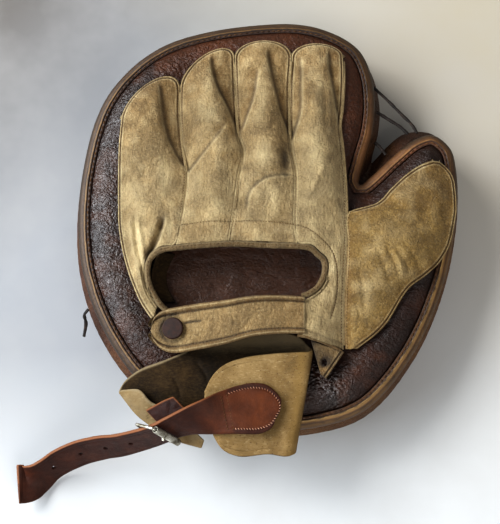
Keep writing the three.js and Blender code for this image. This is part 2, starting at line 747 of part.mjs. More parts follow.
// Wrist band with rolled edges, and its button
function wristBand() {
  const acrossRows = [
    { across: 0, proud: 0 },
    { across: 0.08, proud: 0.9 },
    { across: 0.17, proud: -0.3 },
    { across: 0.5, proud: 0.5 },
    { across: 0.83, proud: -0.3 },
    { across: 0.92, proud: 0.9 },
    { across: 1, proud: 0 },
  ];
  const steps = 13;
  const top = [];
  for (let i = 0; i <= steps; i += 1) {
    const x = mix(bandRows[0].x, bandRows[bandRows.length - 1].x, (i / steps) ** 1.25);
    top.push(acrossRows.map(({ across, proud }) => new THREE.Vector3(
      x,
      mix(tableValue(bandRows, "x", "low", x), tableValue(bandRows, "x", "top", x), across),
      tableValue(bandRows, "x", "height", x) + proud,
    )));
  }
  add("wrist_band", sheetGeometry(top, lowered(top, 2.6)), finish.tan);
}

function wristButton() {
  const profile = [
    [0, 0],
    [7.2, 0],
    [7.8, 0.8],
    [7.2, 2],
    [5.6, 2.2],
    [4.6, 3],
    [0, 3.6],
  ].map(([radius, height]) => new THREE.Vector2(radius, height));
  const cap = new THREE.LatheGeometry(profile, 16);
  cap.rotateX(Math.PI / 2);
  const button = add("wrist_button", cap, finish.button);
  button.position.set(-43.6, -53.4, 65.6);
  button.rotation.set(0, -0.2, 0);
}

// Small tab that joins the band to the heel, with its lace hole
function heelTab() {
  const topLeft = new THREE.Vector3(50, -61.6, 64.8);
  const topRight = new THREE.Vector3(72.4, -69.2, 63.4);
  const lowLeft = new THREE.Vector3(56.4, -84, 60.5);
  const lowRight = new THREE.Vector3(60, -87, 60.5);
  const steps = 4;
  const top = [];
  for (let i = 0; i <= steps; i += 1) {
    const left = topLeft.clone().lerp(lowLeft, i / steps);
    const right = topRight.clone().lerp(lowRight, i / steps);
    top.push(Array.from({ length: steps + 1 }, (_, j) => left.clone().lerp(right, j / steps)));
  }
  const tab = toSolid(sheetGeometry(top, lowered(top, leather)));
  const hole = cutter(2.4, 12, new THREE.Vector3(59, -76, 61), new THREE.Vector3(0, 0, 1));
  add("heel_tab", fromSolid(tab.subtract(hole)), finish.tan);
}

// Cuff: one sheet that lies over the heel, folds up at the right and comes back as a flap
function cuff() {
  const columns = 6;
  const grid = cuffRows.map((row) => Array.from({ length: columns + 1 }, (_, j) => {
    const t = j / columns;
    const x = mix(row.handX, row.wristX, t);
    const y = mix(row.handY, row.wristY, t);
    const raised = mix(flap.handHeight, flap.wristHeight, t) + flap.crown * 4 * t * (1 - t);
    return new THREE.Vector3(x, y, mix(drapeHeight(x, y), raised, row.lift) - leather / 2);
  }));
  add("wrist_cuff", thickSheet(grid, leather), finish.tan);
}

function cuffLeftFlap() {
  const columns = 3;
  const grid = leftFlapRows.map((row) => Array.from({ length: columns + 1 }, (_, j) => {
    const t = j / columns;
    const x = mix(row.foldX, row.edgeX, t);
    const y = mix(row.foldY, row.edgeY, t);
    return new THREE.Vector3(x, y, drapeHeight(x, y) + mix(row.foldLift, row.edgeLift, t));
  }));
  add("cuff_left_flap", thickSheet(grid, leather * 0.8), finish.tan);
}

// Buckle strap: a leather ribbon through its stations
const strapPath = new THREE.CatmullRomCurve3(
  strapRows.map((row) => new THREE.Vector3(row.x, row.y, row.z)),
  false,
  "centripetal",
);

// Place, run, width and face directions of the strap at a station
function strapFrame(station) {
  const last = strapRows.length - 1;
  const low = Math.min(Math.floor(station), last - 1);
  const share = station - low;
  const along = strapPath.getTangent(station / last);
  const level = new THREE.Vector3(along.y, -along.x, 0).normalize();
  const up = new THREE.Vector3().crossVectors(level, along);
  const roll = THREE.MathUtils.degToRad(mix(strapRows[low].roll, strapRows[low + 1].roll, share));
  const across = level.clone().multiplyScalar(Math.cos(roll)).addScaledVector(up, Math.sin(roll));
  const face = up.clone().multiplyScalar(Math.cos(roll)).addScaledVector(level, -Math.sin(roll));
  return {
    place: strapPath.getPoint(station / last),
    along,
    across,
    face,
    half: mix(strapRows[low].half, strapRows[low + 1].half, share),
  };
}

function buckleStrap() {
  const count = (strapRows.length - 1) * strapSteps;
  const side = (sign) => Array.from({ length: count + 1 }, (_, i) => {
    const frame = strapFrame(i / strapSteps);
    return [-1, 1].map((edge) => frame.place.clone()
      .addScaledVector(frame.across, edge * frame.half)
      .addScaledVector(frame.face, (sign * strapLeather) / 2));
  });
  let strap = toSolid(sheetGeometry(side(1), side(-1)));
  strapHoles.forEach(({ station, radius }) => {
    const frame = strapFrame(station);
    strap = strap.subtract(cutter(radius, strapLeather * 4, frame.place, frame.face));
  });
  add("buckle_strap", fromSolid(strap), finish.strap);
}

// Buckle pieces are made in the strap's own directions: X along, Y across, Z off its face
function onStrap(mesh, tilt) {
  const frame = strapFrame(buckleStation);
  const basis = new THREE.Matrix4().makeBasis(frame.along, frame.across.clone().negate(), frame.face);
  mesh.quaternion.setFromRotationMatrix(basis);
  mesh.position.copy(frame.place);
  mesh.rotateY(THREE.MathUtils.degToRad(tilt));
}

function roundedFrame(length, width, corner) {
  const shape = new THREE.Shape();
  const x = length / 2;
  const y = width / 2;
  shape.moveTo(-x + corner, -y);
  shape.lineTo(x - corner, -y);
  shape.lineTo(x, -y + corner);
  shape.lineTo(x, y - corner);
  shape.lineTo(x - corner, y);
  shape.lineTo(-x + corner, y);
  shape.lineTo(-x, y - corner);
  shape.lineTo(-x, -y + corner);
  shape.closePath();
  return shape;
}

function buckleSet() {
  const wire = buckle.wire;
  const outline = roundedFrame(buckle.barGap + wire, buckle.innerWidth + 2 * wire, 2);
  outline.holes.push(roundedFrame(buckle.barGap - wire, buckle.innerWidth, 0.6));
  const frameShape = new THREE.ExtrudeGeometry(outline, { depth: wire, bevelEnabled: false });
  frameShape.translate(0, 0, -wire / 2);
  onStrap(add("buckle_frame", frameShape, finish.nickel), buckle.tilt);

  const half = buckle.innerWidth / 2 - 1.2;
  const ring = [
    [buckle.rollerBore, -half],
    [buckle.rollerRadius, -half],
    [buckle.rollerRadius, half],
    [buckle.rollerBore, half],
    [buckle.rollerBore, -half],
  ].map(([radius, height]) => new THREE.Vector2(radius, height));
  const roller = new THREE.LatheGeometry(ring, 12);
  roller.translate(-buckle.barGap / 2, 0, 0);
  onStrap(add("buckle_roller", roller, finish.nickel), buckle.tilt);

  const prong = tubeGeometry([
    [6.4, 0, -3.6],
    [3.4, 0, -3],
    [0, 0, -2.4],
    [-1.6, 0, -0.8],
    [-2.6, 0, 1.6],
    [-3.9, 0, 4.4],
    [-4.8, 0, 6.8],
  ], 0.9, 6, 8);
  onStrap(add("buckle_prong", prong, finish.nickel), 0);
}

// Leather tab under the strap that holds the buckle
function buckleTab() {
  const centreLine = [
    { x: -37.8, y: -105.2, z: 64.6 },
    { x: -43.5, y: -107.4, z: 63.4 },
    { x: -50, y: -110.6, z: 61 },
    { x: -56, y: -113.6, z: 58 },
  ];
  const grid = centreLine.map((row) => [-1, 0, 1].map((side) => {
    return new THREE.Vector3(row.x - side * 5.2, row.y + side * 5.4, row.z);
  }));
  add("buckle_tab", thickSheet(grid, leather), finish.strap);
}

// Laces across the crotch, and the tail of the side lace
const laceRoutes = [
  {
    name: "web_lace_1",
    steps: 12,
    points: [[100, 121.5, 40.2], [107, 115.5, 41], [114, 108.6, 40.6], [121.5, 101, 40.2], [126.6, 91, 40]],
  },
  {
    name: "web_lace_2",
    steps: 9,
    points: [[101.2, 104.6, 40.2], [109, 100.6, 41], [117.4, 95, 40.4], [120, 85.8, 40]],
  },
  { name: "web_lace_3", steps: 6, points: [[97.8, 84.4, 40.2], [101.6, 80.6, 40.6], [104.6, 73.2, 40.2]] },
  {
    name: "side_lace",
    steps: 9,
    points: [[-104.2, -37.2, 43], [-107, -40.6, 41], [-106.6, -46, 35.5], [-108.6, -54.5, 29]],
  },
];

function laces() {
  laceRoutes.forEach(({ name, steps, points }) => {
    add(name, tubeGeometry(points, laceRadius, 6, steps), finish.lace);
  });
}

palmPad();
backPanel();
edgeBinding();
stallShapes.forEach(stall);
thumbStall();
windowBead();
pouchWall();
wristBand();
wristButton();
heelTab();
cuff();
cuffLeftFlap();
buckleStrap();
buckleSet();
buckleTab();
laces();

export default mitt;
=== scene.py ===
import math

import bpy
import numpy as np
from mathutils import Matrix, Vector


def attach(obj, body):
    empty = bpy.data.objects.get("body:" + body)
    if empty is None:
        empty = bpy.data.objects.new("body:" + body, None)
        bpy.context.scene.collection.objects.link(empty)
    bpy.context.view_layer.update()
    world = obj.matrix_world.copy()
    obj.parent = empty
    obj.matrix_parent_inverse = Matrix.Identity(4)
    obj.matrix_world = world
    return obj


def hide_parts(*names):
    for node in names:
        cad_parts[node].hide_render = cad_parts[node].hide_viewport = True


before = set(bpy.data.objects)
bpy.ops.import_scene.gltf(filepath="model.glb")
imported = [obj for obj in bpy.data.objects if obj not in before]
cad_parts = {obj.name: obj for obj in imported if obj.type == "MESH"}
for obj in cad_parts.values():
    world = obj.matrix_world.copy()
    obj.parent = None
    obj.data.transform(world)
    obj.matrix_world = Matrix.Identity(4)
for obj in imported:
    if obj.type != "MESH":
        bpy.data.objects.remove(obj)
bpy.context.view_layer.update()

mm = 0.001               # the tables are in millimetres, the meshes in metres
print("frame loaded")

# Shared sizes, the same ones that the solids are made from
leather = {"wall": 2.0, "lay": 3.2, "gap": 0.9}
bodyCentre = (42.0, -20.0)
mapBox = {"x": (-165, 165), "y": (-175, 180)}


# Table from rows: one array for each named column
def columns(names, rows):
    return dict(zip(names.split(), np.array(rows, float).T))


# Chosen columns of a table, side by side
def sideBySide(table, names):
    return np.stack([table[name] for name in names.split()], 1)


# Soft spots on a panel: place, half sizes and strength
def spotTable(*rows):
    return columns("x y wide tall amount", rows)


# Crease along a path: its half width and its depth, below 0 for a ridge
def groove(half, depth, *path):
    return {"path": path, "half": half, "depth": depth}


# Outer edge of the binding and, below it, the widest line of the palm, once round
rim = columns("x y palmX palmY", [
    (86.4, 51.9, 96.5, 72.0),
    (96.2, 88.9, 101.8, 95.0),
    (98.4, 111.8, 103.0, 114.5),
    (95.6, 134.2, 98.5, 136.5),
    (86.5, 152.3, 88.4, 154.0),
    (63.5, 166.2, 64.2, 167.4),
    (30.2, 171.3, 30.3, 172.3),
    (-52.9, 155.0, -53.6, 156.4),
    (-93.3, 117.8, -95.2, 119.0),
    (-110.7, 58.8, -112.9, 59.2),
    (-110.3, -3.8, -113.6, -5.0),
    (-93.6, -51.8, -98.0, -53.8),
    (-63.8, -92.0, -67.0, -94.8),
    (-29.2, -112.5, -30.8, -115.6),
    (8.5, -120.7, 8.0, -123.8),
    (50.3, -119.9, 51.0, -123.0),
    (87.5, -107.7, 89.4, -110.6),
    (120.6, -70.6, 123.2, -72.4),
    (143.3, -21.6, 146.2, -22.4),
    (154.5, 29.8, 157.2, 29.8),
    (155.1, 62.5, 157.6, 64.0),
    (150.9, 78.6, 153.0, 82.0),
    (138.3, 88.2, 139.2, 94.2),
    (124.0, 84.1, 120.8, 93.6),
    (108.7, 71.6, 108.2, 84.2),
    (94.4, 58.1, 100.2, 75.4),
])

# Height of the back by distance in from the rim
skin = columns("inset height", [
    (0, 44.0), (1, 47.0), (3, 48.8), (6, 49.8), (9.4, 50.6), (14, 54.2),
    (20, 56.5), (26, 56.5), (34, 54.8), (46, 50.5), (60, 47.2), (90, 46.0),
])

# Seams of the hand back, each row a place on it; a height of 0 rests on the back below
seams = {
    "littleEdge": columns("x y z", [
        (-82.2, 94, 0), (-83.5, 75, 0), (-83.3, 33, 0), (-82.5, 17, 0),
        (-78.7, -3, 0), (-73.6, -19, 0), (-66.6, -35, 0), (-58.5, -47, 0),
    ]),
    "littleRing": columns("x y z", [
        (-41.0, 118, 56), (-40.8, 97, 58), (-38.6, 76, 60.5), (-35.5, 56, 63),
        (-35.7, 44, 65), (-37.7, 27, 68.5), (-39.9, 14, 70.5), (-42.4, 3.6, 72),
    ]),
    "ringMiddle": columns("x y z", [
        (-2.4, 140, 54), (-1.7, 117, 57.5), (-0.8, 99, 60.5), (0.8, 81, 63),
        (4.0, 69.6, 65), (1.0, 51.5, 68), (-2.2, 26, 71.5), (-5.1, 6, 74),
    ]),
    "middleIndex": columns("x y z", [
        (38.0, 141, 54), (36.4, 117, 57.5), (36.3, 100, 61), (36.9, 75, 64),
        (40.2, 55, 67), (40.3, 43, 69), (39.4, 18, 72), (41.1, 4.4, 73.5),
    ]),
    "indexEdge": columns("x y z", [
        (74.6, 142, 0), (74.8, 125, 0), (73.5, 104, 0), (71.8, 91, 60),
        (73.4, 74, 60.5), (74.9, 50, 61.5), (75.4, 29, 63), (75.2, 11, 64.5),
        (73.4, -20, 63.5), (72.4, -45, 61), (72.6, -67, 58),
    ]),
    "windowLeft": columns("x y z", [
        (-51.4, 2.6, 70.5), (-58.1, -0.4, 68.5), (-62.7, -6, 66.5), (-64.1, -14.6, 64.5),
        (-62.7, -23.5, 63), (-58.6, -32, 62), (-54.6, -38, 61.5),
    ]),
    "windowRight": columns("x y z", [
        (50.6, 3.2, 71.5), (56.4, -1.3, 69.5), (60.8, -5.1, 67.5), (62.1, -10.5, 66.5),
        (60.9, -18.9, 66), (56.2, -26.9, 66.5), (49.2, -32, 68), (44.2, -36, 70.5),
        (43.8, -58.4, 71.5),
    ]),
}


# Vectors of length one, over the last axis
def unit(vectors):
    return vectors / (np.linalg.norm(vectors, axis=-1, keepdims=True) + 1e-12)


# Length of a line up to each of its points
def runOf(line):
    return np.concatenate([[0], np.cumsum(np.linalg.norm(np.diff(line, axis=0), axis=1))])


# Cubic Hermite through a table, slopes from the neighbouring rows, level past both ends
def readTable(table, key, column, at):
    order = np.argsort(table[key])
    x = table[key][order]
    y = table[column][order]
    before = np.maximum(np.arange(len(x)) - 1, 0)
    after = np.minimum(np.arange(len(x)) + 1, len(x) - 1)
    slope = (y[after] - y[before]) / (x[after] - x[before])
    at = np.clip(np.asarray(at, float), x[0], x[-1])
    low = np.clip(np.searchsorted(x, at, side="right") - 1, 0, len(x) - 2)
    span = x[low + 1] - x[low]
    t = (at - x[low]) / span
    start = y[low] * (2 * t**3 - 3 * t**2 + 1) + slope[low] * span * (t**3 - 2 * t**2 + t)
    end = y[low + 1] * (3 * t**2 - 2 * t**3) + slope[low + 1] * span * (t**3 - t**2)
    return start + end


# Centripetal Catmull-Rom spline: a cubic from row to row, knots apart by the root of their distance
def spline(points, steps, closed=False):
    p = np.asarray(points, float)
    if closed:
        p0, p1, p2, p3 = np.roll(p, 1, 0), p, np.roll(p, -1, 0), np.roll(p, -2, 0)
    else:
        full = np.vstack([2 * p[0] - p[1], p, 2 * p[-1] - p[-2]])
        p0, p1, p2, p3 = full[:-3], full[1:-2], full[2:-1], full[3:]
    d0 = np.sqrt(np.linalg.norm(p1 - p0, axis=1))[:, None] + 1e-9
    d1 = np.sqrt(np.linalg.norm(p2 - p1, axis=1))[:, None] + 1e-9
    d2 = np.sqrt(np.linalg.norm(p3 - p2, axis=1))[:, None] + 1e-9
    m1 = ((p1 - p0) / d0 - (p2 - p0) / (d0 + d1) + (p2 - p1) / d1) * d1
    m2 = ((p2 - p1) / d1 - (p3 - p1) / (d1 + d2) + (p3 - p2) / d2) * d1
    t = (np.arange(steps) / steps)[None, :, None]
    line = (p1[:, None] * (2 * t**3 - 3 * t**2 + 1) + m1[:, None] * (t**3 - 2 * t**2 + t)
            + p2[:, None] * (3 * t**2 - 2 * t**3) + m2[:, None] * (t**3 - t**2))
    line = line.reshape(-1, p.shape[1])
    return line if closed else np.vstack([line, p[-1]])


# Points at given shares of a line's length
def alongLine(line, shares, closed=False):
    full = np.vstack([line, line[:1]]) if closed else line
    run = runOf(full)
    at = np.asarray(shares) * run[-1]
    return np.stack([np.interp(at, run, full[:, k]) for k in range(full.shape[1])], axis=-1)


# Nearest place on a polyline: distance, share of its length, and side (1 on the left of its run)
def nearestOn(x, y, line):
    best = np.full(np.shape(x), 1e9)
    share = np.zeros(np.shape(x))
    side = np.ones(np.shape(x))
    run = runOf(line[:, :2])
    for i in range(len(line) - 1):
        ax, ay = line[i, :2]
        dx, dy = line[i + 1, :2] - line[i, :2]
        t = np.clip(((x - ax) * dx + (y - ay) * dy) / (dx * dx + dy * dy + 1e-12), 0, 1)
        away = np.hypot(x - ax - dx * t, y - ay - dy * t)
        closer = away < best
        best = np.where(closer, away, best)
        share = np.where(closer, (run[i] + t * (run[i + 1] - run[i])) / run[-1], share)
        side = np.where(closer, np.where(dx * (y - ay) - dy * (x - ax) > 0, 1.0, -1.0), side)
    return best, share, side


rimLine = spline(sideBySide(rim, "x y"), 10, closed=True)
palmLine = spline(sideBySide(rim, "palmX palmY"), 10, closed=True)


# Signed distance in from the rim on a 1 mm grid, read back between its nodes
def makeInsetMap():
    gx, gy = np.meshgrid(*(np.arange(low, high + 1) for low, high in mapBox.values()), indexing="ij")
    loop = np.vstack([rimLine, rimLine[:1]])
    away, _, _ = nearestOn(gx, gy, loop)
    inside = np.zeros(gx.shape, bool)
    for (ax, ay), (bx, by) in zip(loop[:-1], loop[1:]):
        if ay != by:
            crossing = ax + (bx - ax) * (gy - ay) / (by - ay)
            inside ^= ((ay > gy) != (by > gy)) & (gx < crossing)
    return np.where(inside, away, -away)


insetMap = makeInsetMap()


def rimInset(x, y):
    fx = np.clip(np.asarray(x, float) - mapBox["x"][0], 0, insetMap.shape[0] - 1.001)
    fy = np.clip(np.asarray(y, float) - mapBox["y"][0], 0, insetMap.shape[1] - 1.001)
    i, j = fx.astype(int), fy.astype(int)
    u, v = fx - i, fy - j
    low = insetMap[i, j] * (1 - u) + insetMap[i + 1, j] * u
    high = insetMap[i, j + 1] * (1 - u) + insetMap[i + 1, j + 1] * u
    return low * (1 - v) + high * v


def skinHeight(x, y):
    return readTable(skin, "inset", "height", rimInset(x, y))


# Rim moved inwards along its normals, at even steps round it
def insetRing(inset, count):
    ring = alongLine(rimLine, np.arange(count) / count, closed=True)
    along = unit(np.roll(ring, -1, 0) - np.roll(ring, 1, 0))
    return ring + np.stack([-along[:, 1], along[:, 0]], 1) * inset


# Soft random hills: a grid of random values, smoothed between its nodes, from -1 to 1
def softNoise(x, y, size, seed):
    table = np.random.RandomState(seed).uniform(-1, 1, (64, 64))
    fx, fy = np.asarray(x) / size + 1000.0, np.asarray(y) / size + 1000.0
    i, j = np.floor(fx).astype(int), np.floor(fy).astype(int)
    u, v = fx - i, fy - j
    u, v = u * u * (3 - 2 * u), v * v * (3 - 2 * v)
    low = table[i % 64, j % 64] * (1 - u) + table[(i + 1) % 64, j % 64] * u
    high = table[i % 64, (j + 1) % 64] * (1 - u) + table[(i + 1) % 64, (j + 1) % 64] * u
    return low * (1 - v) + high * v


# The same hills along a line only
def lineNoise(along, size, seed):
    return softNoise(along, along * 0, size, seed)


def smoothMax(a, b, blend):
    h = np.clip(0.5 + 0.5 * (a - b) / blend, 0, 1)
    return b + (a - b) * h + blend * h * (1 - h)


def bell(distance, half):
    return np.exp(-((distance / half) ** 2))


def easeIn(t):
    t = np.clip(t, 0, 1)
    return t * t * (3 - 2 * t)


# Unit normals of a grid of points, from its own two directions
def gridNormals(grid):
    return unit(np.cross(np.gradient(grid, axis=0), np.gradient(grid, axis=1)))


# Quads between the rows of a grid, wrapped where asked
def gridQuads(rows, count, wrapRows=False, wrapColumns=False, offset=0):
    i = np.arange(rows if wrapRows else rows - 1)[:, None]
    j = np.arange(count if wrapColumns else count - 1)[None, :]
    a = i * count + j
    b = ((i + 1) % rows) * count + j
    c = ((i + 1) % rows) * count + (j + 1) % count
    d = i * count + (j + 1) % count
    return np.stack([a, b, c, d], -1).reshape(-1, 4) + offset


# Mesh object from arrays of points and faces, turned outwards, with its finish and its body
def makePiece(name, points, faceSets, finish, slotName, nodes=(), marks=None, smooth=True):
    quads = [f for f in faceSets if len(f)]
    volume = 0.0
    for f in quads:
        a, b = points[f[:, 0]], points[f[:, 1]]
        for k in range(2, f.shape[1]):
            c = points[f[:, k]]
            volume += np.einsum("ij,ij->", a, np.cross(b, c))
            b = c
    if volume < 0:
        quads = [f[:, ::-1] for f in quads]
    mesh = bpy.data.meshes.new(name)
    corners = np.concatenate([f.ravel() for f in quads]).astype(np.int32)
    sizes = np.concatenate([np.full(len(f), f.shape[1]) for f in quads])
    mesh.vertices.add(len(points))
    mesh.vertices.foreach_set("co", (np.asarray(points, float) * mm).astype(np.float32).ravel())
    mesh.loops.add(len(corners))
    mesh.loops.foreach_set("vertex_index", corners)
    mesh.polygons.add(len(sizes))
    mesh.polygons.foreach_set("loop_start", np.concatenate([[0], np.cumsum(sizes)[:-1]]).astype(np.int32))
    mesh.polygons.foreach_set("use_smooth", np.full(len(sizes), smooth))
    for markName, values in (marks or {}).items():
        values = np.broadcast_to(np.ravel(values), len(points)).astype(np.float32)
        mesh.attributes.new(markName, "FLOAT", "POINT").data.foreach_set("value", values)
    mesh.update(calc_edges=True)
    mesh.validate()
    piece = bpy.data.objects.new(name, mesh)
    bpy.context.scene.collection.objects.link(piece)
    mesh.materials.append(finishes[finish])
    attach(piece, "root")
    if nodes:
        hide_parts(*nodes)
    return piece


# Closed wall between two grids: both faces and a rounded edge in one body
def wallBetween(top, low, bulge=0.35):
    rows, count = top.shape[:2]
    index = np.arange(rows * count).reshape(rows, count)
    border = np.concatenate([index[:-1, 0], index[-1, :-1], index[:0:-1, -1], index[0, :0:-1]])
    inner = np.concatenate([index[:-1, 1], index[-2, :-1], index[:0:-1, -2], index[1, :0:-1]])
    flatTop, flatLow = top.reshape(-1, 3), low.reshape(-1, 3)
    out = unit(flatTop[border] - flatTop[inner])
    thick = np.linalg.norm(flatTop[border] - flatLow[border], axis=1)[:, None]
    middle = (flatTop[border] + flatLow[border]) / 2 + out * thick * bulge
    points = np.vstack([flatTop, flatLow, middle])
    size = rows * count
    ring = np.arange(len(border)) + 2 * size
    nextBorder, nextRing = np.roll(border, -1), np.roll(ring, -1)
    faces = [
        gridQuads(rows, count),
        gridQuads(rows, count, offset=size)[:, ::-1],
        np.stack([nextBorder, border, ring, nextRing], 1),
        np.stack([nextRing, ring, border + size, nextBorder + size], 1),
    ]
    return points, faces, border


# Wall of one thickness below a grid that faces up
def wallBelow(top, thickness, bulge=0.35):
    normal = gridNormals(top)
    if normal[..., 2].sum() < 0:
        normal = -normal
    return wallBetween(top, top - normal * thickness, bulge)


# Marks of a wall, each kept from 0 to its limit, on its top grid, its underside and its edge
def wallMarks(border, **marks):
    made = {}
    for name, (values, limit) in marks.items():
        flat = np.clip(values, 0, limit).ravel()
        made[name] = np.concatenate([flat, flat, flat[border]])
    return made


# Rings of points closed by a pole at both ends: all points, quads between the rings and fans at the poles
def closedRings(rings, poles):
    rows, count = rings.shape[:2]
    j = np.arange(count)
    k = (j + 1) % count
    first, base = rows * count, (rows - 1) * count
    fans = np.concatenate([np.stack([np.full(count, first), j, k], 1),
                           np.stack([np.full(count, first + 1), base + k, base + j], 1)])
    return np.vstack([rings.reshape(-1, 3), poles]), [gridQuads(rows, count, wrapColumns=True), fans]


# Tube round a line: a circle of points at each station, upright, closed by a pole at both ends
def tubeArrays(line, radius, sides, squash=1.0):
    along = unit(np.gradient(line, axis=0))
    side = np.cross(along, [0.0, 0.0, 1.0])
    flat = np.linalg.norm(side, axis=1)[:, None]
    side = np.where(flat > 1e-3, side / (flat + 1e-12), [1.0, 0.0, 0.0])
    over = np.cross(side, along)
    angle = np.arange(sides) / sides * 2 * np.pi
    radius = np.broadcast_to(radius, (len(line),))
    ring = (line[:, None] + radius[:, None, None] * (
        np.cos(angle)[None, :, None] * side[:, None] + squash * np.sin(angle)[None, :, None] * over[:, None]))
    return closedRings(ring, [line[0], line[-1]])


# One mesh from several sets of points and faces
def joinArrays(parts):
    points = []
    faces = {}
    offset = 0
    for partPoints, partFaces in parts:
        points.append(partPoints)
        for f in partFaces:
            faces.setdefault(f.shape[1], []).append(f + offset)
        offset += len(partPoints)
    return np.vstack(points), [np.concatenate(f) for f in faces.values()]


# Thread of a stitch: sides round it and steps along it
thread = {"sides": 6, "steps": 6}


# Stitches along a line: short threads that arch over the leather and dive in at both ends
def stitchArrays(line, pitch, share, radius, lift, lean=0.0):
    sides, steps = thread["sides"], thread["steps"]
    count = max(2, int(round(runOf(line)[-1] / pitch)))
    start = (np.arange(count) + (1 - share) / 2) / count
    t = np.linspace(0, 1, steps)
    shares = (start[:, None] + t[None, :] * share / count).clip(0, 1)
    run = alongLine(line, shares.ravel()).reshape(count, steps, 3)
    along = unit(run[:, -1] - run[:, 0])
    side = unit(np.cross(along, [0.0, 0.0, 1.0]))
    over = np.cross(side, along)
    arch = np.sin(np.pi * t) ** 0.6
    run = run + over[:, None] * (lift * (2 * arch - 1))[None, :, None]
    run = run + side[:, None] * (lean * (t - 0.5))[None, :, None]
    angle = np.arange(sides) / sides * 2 * np.pi
    taper = (0.55 + 0.45 * np.sin(np.pi * t)) * radius
    ring = (run[:, :, None] + taper[None, :, None, None] * (
        np.cos(angle)[None, None, :, None] * side[:, None, None]
        + np.sin(angle)[None, None, :, None] * over[:, None, None]))
    points = ring.reshape(-1, 3)
    quads = gridQuads(steps, sides, wrapColumns=True)
    cap = np.arange(sides)
    oneEnd = np.stack([np.full(sides - 2, 0), cap[1:-1], cap[2:]], 1)
    otherEnd = np.stack([np.full(sides - 2, 0), cap[2:], cap[1:-1]], 1) + (steps - 1) * sides
    offsets = (np.arange(count) * steps * sides)[:, None, None]
    return points, [(quads[None] + offsets).reshape(-1, 4),
                    (np.concatenate([oneEnd, otherEnd])[None] + offsets).reshape(-1, 3)]


# The threads of one or more seams as one piece
def makeThreads(name, parts, finish, slotName):
    makePiece(name, *joinArrays(parts), finish, slotName)


# Materials: starting one gives its place coordinates, and the helpers add nodes to the tree that was
# started last
shading = {}


def startMaterial(name):
    material = bpy.data.materials.new(name)
    material.use_nodes = True
    shading["tree"] = material.node_tree
    shading["tree"].nodes.clear()
    shading["material"] = material
    return place()


# Screen values 0 to 255 as the shader's linear light
def colour(shade):
    c = np.array(shade) / 255
    linear = np.where(c <= 0.04045, c / 12.92, ((c + 0.055) / 1.055) ** 2.4)
    return (*[float(v) for v in linear], 1.0)


def node(kind, sockets, **settings):
    made = shading["tree"].nodes.new(kind)
    for key, value in settings.items():
        setattr(made, key, value)
    for key, value in sockets.items():
        if isinstance(value, bpy.types.NodeSocket):
            shading["tree"].links.new(value, made.inputs[key])
        else:
            made.inputs[key].default_value = colour(value) if made.inputs[key].type == "RGBA" else value
    return made


def place(stretch=(1, 1, 1)):
    where = node("ShaderNodeTexCoord", {}).outputs["Object"]
    return node("ShaderNodeMapping", {"Vector": where, "Scale": stretch}).outputs["Vector"]


# Clouded noise; size is the pattern's grain in metres
def noise(where, size, detail=3.0, rough=0.55, distortion=0.0):
    return node("ShaderNodeTexNoise", {
        "Vector": where, "Scale": 1 / size, "Detail": detail, "Roughness": rough, "Distortion": distortion,
    }).outputs["Fac"]


def cells(where, size, feature="F1"):
    return node("ShaderNodeTexVoronoi", {"Vector": where, "Scale": 1 / size}, feature=feature).outputs["Distance"]


# The place moved about by noise, so that a pattern's lines wander
def wandering(where, size, reach):
    shake = node("ShaderNodeTexNoise", {"Vector": where, "Scale": 1 / size, "Detail": 3.0}).outputs["Color"]
    shift = node("ShaderNodeVectorMath", {0: shake, 1: (reach, reach, reach)}, operation="MULTIPLY").outputs[0]
    return node("ShaderNodeVectorMath", {0: where, 1: shift}, operation="ADD").outputs[0]


def mark(name):
    return node("ShaderNodeAttribute", {}, attribute_name=name).outputs["Fac"]


def spread(value, low, high, toLow=0.0, toHigh=1.0):
    return node("ShaderNodeMapRange", {
        "Value": value, "From Min": low, "From Max": high, "To Min": toLow, "To Max": toHigh,
    }).outputs["Result"]


def sums(operation, a, b):
    return node("ShaderNodeMath", {0: a, 1: b}, operation=operation).outputs[0]


def times(a, b):
    return sums("MULTIPLY", a, b)


def blendColour(share, a, b):
    return node("ShaderNodeMix", {0: share, 6: a, 7: b}, data_type="RGBA").outputs[2]


# A shade laid over the base where a pattern goes from low to high, up to an amount
def layer(base, shade, pattern, low, high, amount):
    return blendColour(spread(pattern, low, high, 0.0, amount), base, shade)


def ramp(value, *stops):
    made = node("ShaderNodeValToRGB", {"Fac": value})
    band = made.color_ramp
    for element, (position, shade) in zip(band.elements, (stops[0], stops[-1])):
        element.position, element.color = position, colour(shade)
    for position, shade in stops[1:-1]:
        band.elements.new(position).color = colour(shade)
    return made.outputs["Color"]


# Bumps laid one over the other, each a pattern, its height in metres and its strength
def bumps(*layers):
    under = {}
    for pattern, distance, strength in layers:
        made = node("ShaderNodeBump", {"Height": pattern, "Distance": distance, "Strength": strength, **under})
        under = {"Normal": made.outputs["Normal"]}
    return under["Normal"]


def finishMaterial(base, rough, normal=None, metallic=0.0, specular=0.5, sheen=0.0, coat=0.0, coatRough=0.3):
    sockets = {
        "Base Color": base, "Roughness": rough, "Metallic": metallic, "Specular IOR Level": specular,
        "Sheen Weight": sheen, "Sheen Roughness": 0.5, "Coat Weight": coat, "Coat Roughness": coatRough,
    }
    if normal is not None:
        sockets.update({"Normal": normal, "Coat Normal": normal})
    shader = node("ShaderNodeBsdfPrincipled", sockets)
    node("ShaderNodeOutputMaterial", {"Surface": shader.outputs["BSDF"]})
    return shading["material"]


